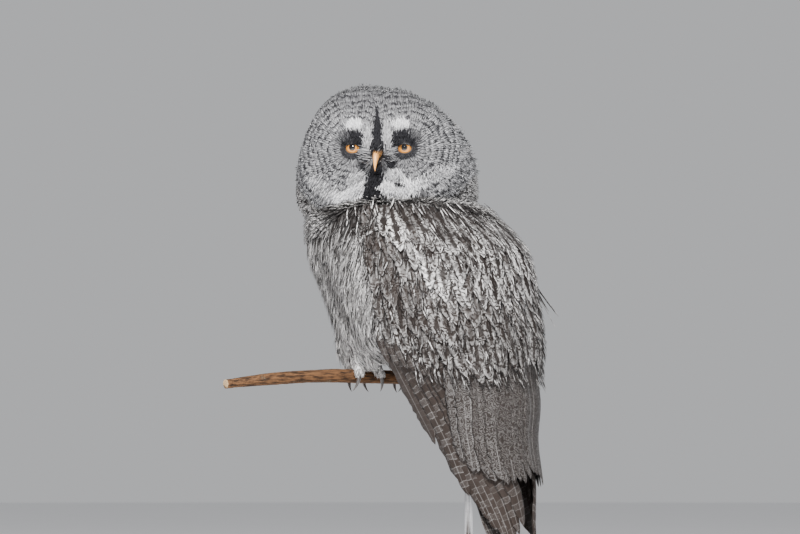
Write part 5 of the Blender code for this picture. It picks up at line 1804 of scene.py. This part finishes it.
class OWL_OT_bill(bpy.types.Operator):
    """Makes the hooked upper bill with its nostrils and the lower bill behind it"""

    bl_idname = "owl.bill"
    bl_label = "Bill"

    def execute(self, context):
        finish = bill_finish(context.scene.owl_colours)
        share = np.linspace(0, 1, 44)
        turn = BILL_TURN * share
        path = head_place(
            0 * turn,
            BILL_ROOT_FORWARD + BILL_CURVE * np.sin(turn),
            BILL_ROOT_UP - BILL_CURVE * (1 - np.cos(turn)),
        )
        taper = 1.035 - share**1.6
        radii = np.stack([BILL_HALF_WIDTH * taper, BILL_HALF_HEIGHT * taper], -1)
        rings = tube_rings(path, radii, 40, FACE_LEFT)
        for side in (-1, 1):
            nostril = path[11] + side * 0.0050 * FACE_LEFT + 0.0022 * FACE_UP + 0.0015 * FACE
            away = np.linalg.norm(rings - nostril, axis=-1)
            rings = rings - side * 0.0016 * np.exp(-((away / 0.0014) ** 2))[..., None] * FACE_LEFT
        keep(closed_piece("bill_upper_horn", [loft_parts(rings)], finish), "bill", "bill_upper")
        share = np.linspace(0, 1, 20)
        path = head_place(
            0 * share,
            LOWER_BILL_FORWARD + LOWER_BILL_LENGTH * share,
            LOWER_BILL_UP - LOWER_BILL_DROP * share - LOWER_BILL_BEND * share**2,
        )
        taper = 1.02 - share**1.5
        radii = np.stack([LOWER_BILL_HALF_WIDTH * taper, LOWER_BILL_HALF_HEIGHT * taper], -1)
        rings = tube_rings(path, radii, 24, FACE_LEFT)
        keep(closed_piece("bill_lower_horn", [loft_parts(rings)], finish), "bill", "bill_lower")
        return {"FINISHED"}


class Tree(Nodes):
    """A Geometry Nodes tree on a piece, its sizes as named inputs."""

    def __init__(self, name):
        self.tree = bpy.data.node_groups.new(name, "GeometryNodeTree")
        self.tree.interface.new_socket("Geometry", in_out="INPUT", socket_type="NodeSocketGeometry")
        self.tree.interface.new_socket("Geometry", in_out="OUTPUT", socket_type="NodeSocketGeometry")
        self.start = self.tree.nodes.new("NodeGroupInput")
        self.end = self.tree.nodes.new("NodeGroupOutput")
        self.identifiers = {}

    def size(self, name, default, kind="NodeSocketFloat"):
        socket = self.tree.interface.new_socket(name, in_out="INPUT", socket_type=kind)
        socket.default_value = default
        self.identifiers[name] = socket.identifier
        return self.start.outputs[name]

    def grow(self, piece, geometry, material, sizes):
        """Ends the tree, sets its inputs on the piece and turns the result into a plain mesh."""
        real = self.node("GeometryNodeRealizeInstances", None, Geometry=geometry)
        smooth = self.node("GeometryNodeSetShadeSmooth", None, Geometry=real.outputs[0])
        painted = self.node("GeometryNodeSetMaterial", None, Geometry=smooth.outputs[0], Material=material)
        self.tree.links.new(painted.outputs[0], self.end.inputs[0])
        change = piece.modifiers.new(self.tree.name, "NODES")
        change.node_group = self.tree
        for name, value in sizes.items():
            change[self.identifiers[name]] = value
        return applied(piece)


def line_piece(name, paths, radii):
    """An object of bare edges along paths, with a radius share kept at each point."""
    mesh = bpy.data.meshes.new(name)
    points = np.concatenate(paths) + PERCH_MIDDLE
    edges, start = [], 0
    for path in paths:
        edges += [(start + i, start + i + 1) for i in range(len(path) - 1)]
        start += len(path)
    mesh.from_pydata(points.tolist(), edges, [])
    layer = mesh.attributes.new("thickness", "FLOAT", "POINT")
    layer.data.foreach_set("value", np.concatenate(radii).astype(np.float32))
    made = bpy.data.objects.new(name, mesh)
    bpy.context.scene.collection.objects.link(made)
    return made


def swept(tree, radius, sides):
    """Nodes that sweep a round section along every line of the piece, as thick as it says at each point."""
    thickness = tree.node("GeometryNodeInputNamedAttribute", {"data_type": "FLOAT"}, Name="thickness")
    curve = tree.node("GeometryNodeMeshToCurve", None, i0=tree.start.outputs["Geometry"])
    section = tree.node("GeometryNodeCurvePrimitiveCircle", None, Resolution=sides, Radius=radius)
    sockets = {"Curve": curve.outputs[0], "Profile_Curve": section.outputs[0], "Fill_Caps": True}
    sockets["Scale"] = thickness.outputs["Attribute"]
    return tree.node("GeometryNodeCurveToMesh", None, **sockets).outputs[0]


def claw_finish(colours):
    finish = Finish("claw_finish", Coat_Weight=0.3, Coat_Roughness=0.15)
    lines = finish.noise(900, 3, (1.0, 1.0, 0.3))
    tone = finish.step(lines, 0.25, 0.80)
    finish.bump(lines, 0.25, 0.0002)
    return finish.paint(finish.between(tone, colours.claw, 1.0, 2.6), 0.24 + lines * 0.2)


class OWL_OT_claws(bpy.types.Operator):
    """Sweeps the eight curved claws from the ends of the toes"""

    bl_idname = "owl.claws"
    bl_label = "Claws"

    def execute(self, context):
        paths, radii = [], []
        for side in (1, -1):
            for shift, way in TOES:
                toe = toe_path(foot_place(side), shift, way, 5)
                heading = unit(toe[-1] - toe[-2])
                inward = -OFF_PERCH * way
                inward = unit(inward - heading * (inward @ heading))
                share = np.linspace(0, 1, 18)
                turn = CLAW_LENGTH / CLAW_CURVE * share
                start = toe[-1] - heading * 0.0015
                paths.append(
                    start
                    + heading * (CLAW_CURVE * np.sin(turn))[:, None]
                    + inward * (CLAW_CURVE * (1 - np.cos(turn)))[:, None]
                )
                radii.append(1.02 - share**1.3)
        tree = Tree("claw_sweep")
        radius = tree.size("Radius", CLAW_RADIUS)
        sides = tree.size("Sides", CLAW_SIDES, "NodeSocketInt")
        claws = line_piece("claws", paths, radii)
        finish = claw_finish(context.scene.owl_colours)
        tree.grow(claws, swept(tree, radius, sides), finish, {"Radius": CLAW_RADIUS, "Sides": CLAW_SIDES})
        keep(claws, "claw", *[f"claw_{word}_{k}" for word in ("left", "right") for k in range(1, 5)])
        return {"FINISHED"}


def bark_finish(colours):
    """Brown bark with lengthwise cracks and grey lichen, and pale wood with rings at the cut ends."""
    finish = Finish("bark_finish", Specular_IOR_Level=0.3)
    along = finish.along(ALONG_PERCH, NOWHERE)
    turned = finish.node(
        "ShaderNodeMapping", {"vector_type": "TEXTURE"}, Vector=finish.place, Rotation=(0.0, 0.0, PERCH_TURN)
    ).outputs["Vector"]
    cracks = finish.noise(420, 4, (0.16, 1.0, 1.0), turned, 0.6)
    patches = finish.noise(55, 3)
    tone = finish.step(cracks, 0.34, 0.66)
    brown = finish.between(tone, colours.bark, 0.22, 1.5)
    lichen = finish.step(patches, 0.60, 0.72) * finish.step(finish.noise(600, 3), 0.42, 0.60) * 0.55
    brown = finish.mix(lichen, brown, (0.20, 0.19, 0.14))
    ends = finish.step(along, PERCH_LEFT - 0.0008, PERCH_LEFT - 0.0002) + 1 - finish.step(
        along, -PERCH_RIGHT + 0.0002, -PERCH_RIGHT + 0.0008,
    )
    away = finish.away(finish.along(UP, NOWHERE), finish.along(OFF_PERCH, NOWHERE))
    rings = finish.sine(away * (2 * pi / 0.0011) + finish.noise(300, 2) * 4) * 0.5 + 0.5
    wood = finish.mix(rings, (0.40, 0.26, 0.13), (0.58, 0.42, 0.24))
    finish.bump(cracks, 0.7, 0.0012)
    return finish.paint(finish.mix(ends, brown, wood), 0.68 + cracks * 0.3)


class OWL_OT_perch(bpy.types.Operator):
    """Sweeps the cut length of branch, with ridged bark"""

    bl_idname = "owl.perch"
    bl_label = "Perch"

    def execute(self, context):
        along = np.linspace(-PERCH_RIGHT, PERCH_LEFT, 240)
        beyond = np.maximum(0.0, along - PERCH_BENDS_FROM)
        sag = -PERCH_SAG * beyond**2 - PERCH_SLOPE * beyond
        swell = PERCH_SWELL * np.sin(PERCH_SWELLS * along) * np.minimum(1.0, 12 * beyond)
        thick = 1 - PERCH_THINNING * beyond + swell / PERCH_RADIUS
        aside = PERCH_CURVE * beyond**2
        path = ALONG_PERCH * along[:, None] + UP * sag[:, None] + OFF_PERCH * aside[:, None]
        tree = Tree("branch_sweep")
        radius = tree.size("Radius", PERCH_RADIUS)
        ridge = tree.size("Ridge height", RIDGE_HEIGHT)
        sides = tree.size("Sides", PERCH_SIDES, "NodeSocketInt")
        body = swept(tree, radius, sides)
        place = tree.node("GeometryNodeInputPosition").outputs[0]
        narrow = tree.node(
            "ShaderNodeVectorMath", {"operation": "MULTIPLY"}, i0=place, i1=(90.0, 330.0, 420.0),
        )
        noise = tree.node("ShaderNodeTexNoise", None, Vector=narrow.outputs[0], Scale=1.0, Detail=3.0)
        centred = tree.node("ShaderNodeMath", {"operation": "SUBTRACT"}, i0=noise.outputs[0], i1=0.55)
        height = tree.node("ShaderNodeMath", {"operation": "MULTIPLY"}, i0=centred.outputs[0], i1=ridge)
        lift = tree.node("ShaderNodeMath", {"operation": "MULTIPLY"}, i0=height.outputs[0], i1=2.4)
        normal = tree.node("GeometryNodeInputNormal").outputs[0]
        offset = tree.node("ShaderNodeVectorMath", {"operation": "SCALE"}, i0=normal, Scale=lift.outputs[0])
        moved = tree.node("GeometryNodeSetPosition", None, Geometry=body, Offset=offset.outputs[0])
        perch = line_piece("perch_branch", [path], [thick])
        sizes = {"Radius": PERCH_RADIUS, "Ridge height": RIDGE_HEIGHT, "Sides": PERCH_SIDES}
        tree.grow(perch, moved.outputs[0], bark_finish(context.scene.owl_colours), sizes)
        keep(perch, "bark", "perch")
        return {"FINISHED"}


def wood_finish(colours):
    """Dark stained wood with a fine grain."""
    finish = Finish("stand_wood_finish", Coat_Weight=0.25, Coat_Roughness=0.25)
    warp = finish.noise(9, 2)
    lines = finish.sine(
        finish.dot(finish.place, (0.0, 1.0, 0.35)) * 520 + warp * 26 + finish.noise(60, 3, (0.12, 1, 1)) * 5
    )
    pores = finish.step(finish.noise(700, 3, (0.05, 1.0, 1.0)), 0.56, 0.66)
    tone = (lines * 0.5 + 0.5) * 0.7 + finish.noise(25, 3, (0.15, 1, 1)) * 0.4
    colour = finish.between(tone, colours.wood, 0.45, 1.7)
    colour = finish.mix(pores * 0.6, colour, (0.010, 0.007, 0.005))
    finish.bump(lines * 0.2 - pores * 0.8, 0.15, 0.0004)
    return finish.paint(colour, 0.32 + tone * 0.12)


def steel_finish(colours):
    """Satin steel, brushed round."""
    finish = Finish("stand_steel_finish", Metallic=1.0)
    brushed = finish.noise(900, 3, (0.12, 0.12, 3.0))
    finish.bump(brushed, 0.12, 0.0002)
    colour = finish.between(brushed, colours.steel, 0.8, 1.15)
    return finish.paint(colour, 0.24 + brushed * 0.16)


def column_parts(profile, sides):
    """A round form on the rod's axis from (radius, height over the floor) pairs."""
    foot = -ALONG_PERCH * ROD_FROM_MIDDLE
    turn = np.linspace(0, 2 * pi, sides, endpoint=False)
    radius, height = np.array(profile).T
    x = foot[0] + radius[:, None] * np.cos(turn)
    y = foot[1] + radius[:, None] * np.sin(turn)
    z = np.broadcast_to((height - PERCH_MIDDLE[2])[:, None], x.shape)
    return loft_parts(np.stack([x, y, z], -1))


class OWL_OT_stand(bpy.types.Operator):
    """Makes the base with rounded edges, the rod and its collar"""

    bl_idname = "owl.stand"
    bl_label = "Display stand"

    def execute(self, context):
        colours = context.scene.owl_colours
        rings = []
        for turn in np.linspace(0, pi / 2, 7):
            rings.append((BASE_BEVEL * (1 - cos(turn)), BASE_HEIGHT - BASE_BEVEL * (1 - sin(turn))))
        levels = [(0.0012, 0.0), (0.0, 0.0012)] + rings
        outline = []
        for inset, height in levels:
            ring = []
            for quarter, (sx, sy) in enumerate(((1, 1), (-1, 1), (-1, -1), (1, -1))):
                for k in range(16):
                    angle = (quarter + k / 15) * pi / 2
                    ring.append(
                        (
                            sx * (BASE_WIDTH / 2 - BASE_CORNER) + (BASE_CORNER - inset) * cos(angle),
                            sy * (BASE_DEPTH / 2 - BASE_CORNER) + (BASE_CORNER - inset) * sin(angle),
                            height,
                        )
                    )
            outline.append(ring)
        base = closed_piece(
            "base_board", [loft_parts(np.array(outline) - PERCH_MIDDLE)], wood_finish(colours),
        )
        keep(base, "stand_wood", "stand_base")
        steel = steel_finish(colours)
        floor = BASE_HEIGHT + GAP
        rod = [(ROD_RADIUS, floor), (ROD_RADIUS, 0.12), (ROD_RADIUS, PERCH_MIDDLE[2] - 0.5 * PERCH_RADIUS)]
        keep(closed_piece("rod", [column_parts(rod, 40)], steel), "stand_steel", "stand_rod")
        top = floor + COLLAR_HEIGHT
        collar = [
            (COLLAR_RADIUS - 0.0006, floor),
            (COLLAR_RADIUS, floor + 0.0006),
            (COLLAR_RADIUS, top - 0.0016),
            (COLLAR_RADIUS - 0.0005, top - 0.0005),
            (COLLAR_RADIUS - 0.0016, top),
            (ROD_RADIUS + 0.0006, top),
        ]
        keep(closed_piece("collar", [column_parts(collar, 48)], steel), "stand_steel", "stand_collar")
        return {"FINISHED"}


# Lamps: name, how far towards the camera, to its right and up from the aim, width, watts and colour
LAMPS = (
    ("key", (1.9, -0.25, 1.25), 0.45, 125.0, (1.0, 0.985, 0.97)),
    ("fill", (2.4, 1.5, 0.3), 1.8, 8.0, (0.95, 0.97, 1.0)),
    ("rim", (-1.3, 1.2, 1.4), 0.8, 36.0, (1.0, 1.0, 1.0)),
)
SKY_COLOUR, SKY_STRENGTH = (0.80, 0.81, 0.83, 1.0), 0.62


def area_light(name, place, target, size, power, colour):
    data = bpy.data.lights.new(name, "AREA")
    data.shape, data.size, data.energy, data.color = "DISK", size, power, colour
    made = bpy.data.objects.new(name, data)
    made.location = place
    made.rotation_euler = (Vector(target) - Vector(place)).to_track_quat("-Z", "Y").to_euler()
    bpy.context.scene.collection.objects.link(made)


class OWL_OT_stage(bpy.types.Operator):
    """Sets the floor, the soft light and the camera"""

    bl_idname = "owl.stage"
    bl_label = "Stage"

    def execute(self, context):
        stage = context.scene.owl_stage
        finish = Finish("floor_finish", Roughness=0.9)
        tone = finish.noise(3, 2)
        finish.paint(finish.between(tone, context.scene.owl_colours.floor, 0.96, 1.0))
        turn = np.linspace(0, 2 * pi, 96, endpoint=False)
        rim = np.stack(
            [FLOOR_RADIUS * np.cos(turn), FLOOR_RADIUS * np.sin(turn), 0 * turn], -1,
        ) - PERCH_MIDDLE
        k = np.arange(96)
        fan = np.stack([np.full(96, 96), k, (k + 1) % 96], -1)
        floor = make_mesh("floor", np.concatenate([rim, [-PERCH_MIDDLE]]), [], fan, finish.material)
        around, over = stage.azimuth, stage.elevation
        right = np.array((cos(around), sin(around), 0.0))
        out = np.array((sin(around) * cos(over), -cos(around) * cos(over), sin(over)))
        level_out = np.array((sin(around), -cos(around), 0.0))
        aim = PERCH_MIDDLE + AIM_ASIDE * right + AIM_UP * UP
        data = bpy.data.cameras.new("camera")
        data.lens, data.sensor_width, data.clip_end = stage.lens, 36.0, 60.0
        camera = bpy.data.objects.new("camera", data)
        camera.location = aim + stage.distance * out
        camera.rotation_euler = Vector(out).to_track_quat("Z", "Y").to_euler()
        context.scene.collection.objects.link(camera)
        context.scene.camera = camera
        for name, (near, aside, high), size, power, colour in LAMPS:
            area_light(name, aim + near * level_out + aside * right + high * UP, aim, size, power, colour)
        world = bpy.data.worlds.new("studio")
        world.use_nodes = True
        sky = world.node_tree.nodes["Background"]
        sky.inputs["Color"].default_value, sky.inputs["Strength"].default_value = SKY_COLOUR, SKY_STRENGTH
        context.scene.world = world
        return {"FINISHED"}


class OWL_PT_panel(bpy.types.Panel):
    """Lists the owl's pieces in the order that they are made"""

    bl_idname = "OWL_PT_panel"
    bl_label = "Great grey owl"
    bl_space_type = "VIEW_3D"
    bl_region_type = "UI"
    bl_category = "Owl"

    def draw(self, context):
        for name in STEPS:
            self.layout.operator(f"owl.{name}")
        for group in (context.scene.owl_coat, context.scene.owl_colours, context.scene.owl_stage):
            box = self.layout.box()
            for key in group.__annotations__:
                box.prop(group, key)


STEPS = (
    "stage", "skin", "eyes", "bill", "face_feathers", "face_tufts", "head_feathers", "body_feathers",
    "leg_feathers", "flight_feathers", "wing_coverts", "wing_plumes", "tail_feathers", "claws", "perch",
    "stand",
)
CLASSES = (
    OwlColours, OwlCoat, OwlStage, OWL_OT_stage, OWL_OT_skin, OWL_OT_eyes, OWL_OT_bill, OWL_OT_face_feathers,
    OWL_OT_face_tufts, OWL_OT_head_feathers, OWL_OT_body_feathers, OWL_OT_leg_feathers,
    OWL_OT_flight_feathers,
    OWL_OT_wing_coverts, OWL_OT_wing_plumes, OWL_OT_tail_feathers, OWL_OT_claws, OWL_OT_perch, OWL_OT_stand,
    OWL_PT_panel,
)


def register():
    for made in CLASSES:
        bpy.utils.register_class(made)
    bpy.types.Scene.owl_colours = bpy.props.PointerProperty(type=OwlColours)
    bpy.types.Scene.owl_coat = bpy.props.PointerProperty(type=OwlCoat)
    bpy.types.Scene.owl_stage = bpy.props.PointerProperty(type=OwlStage)


def unregister():
    for key in ("owl_colours", "owl_coat", "owl_stage"):
        delattr(bpy.types.Scene, key)
    for made in reversed(CLASSES):
        bpy.utils.unregister_class(made)


def main():
    register()
    for name in STEPS:
        getattr(bpy.ops.owl, name)()


if __name__ == "__main__":
    main()
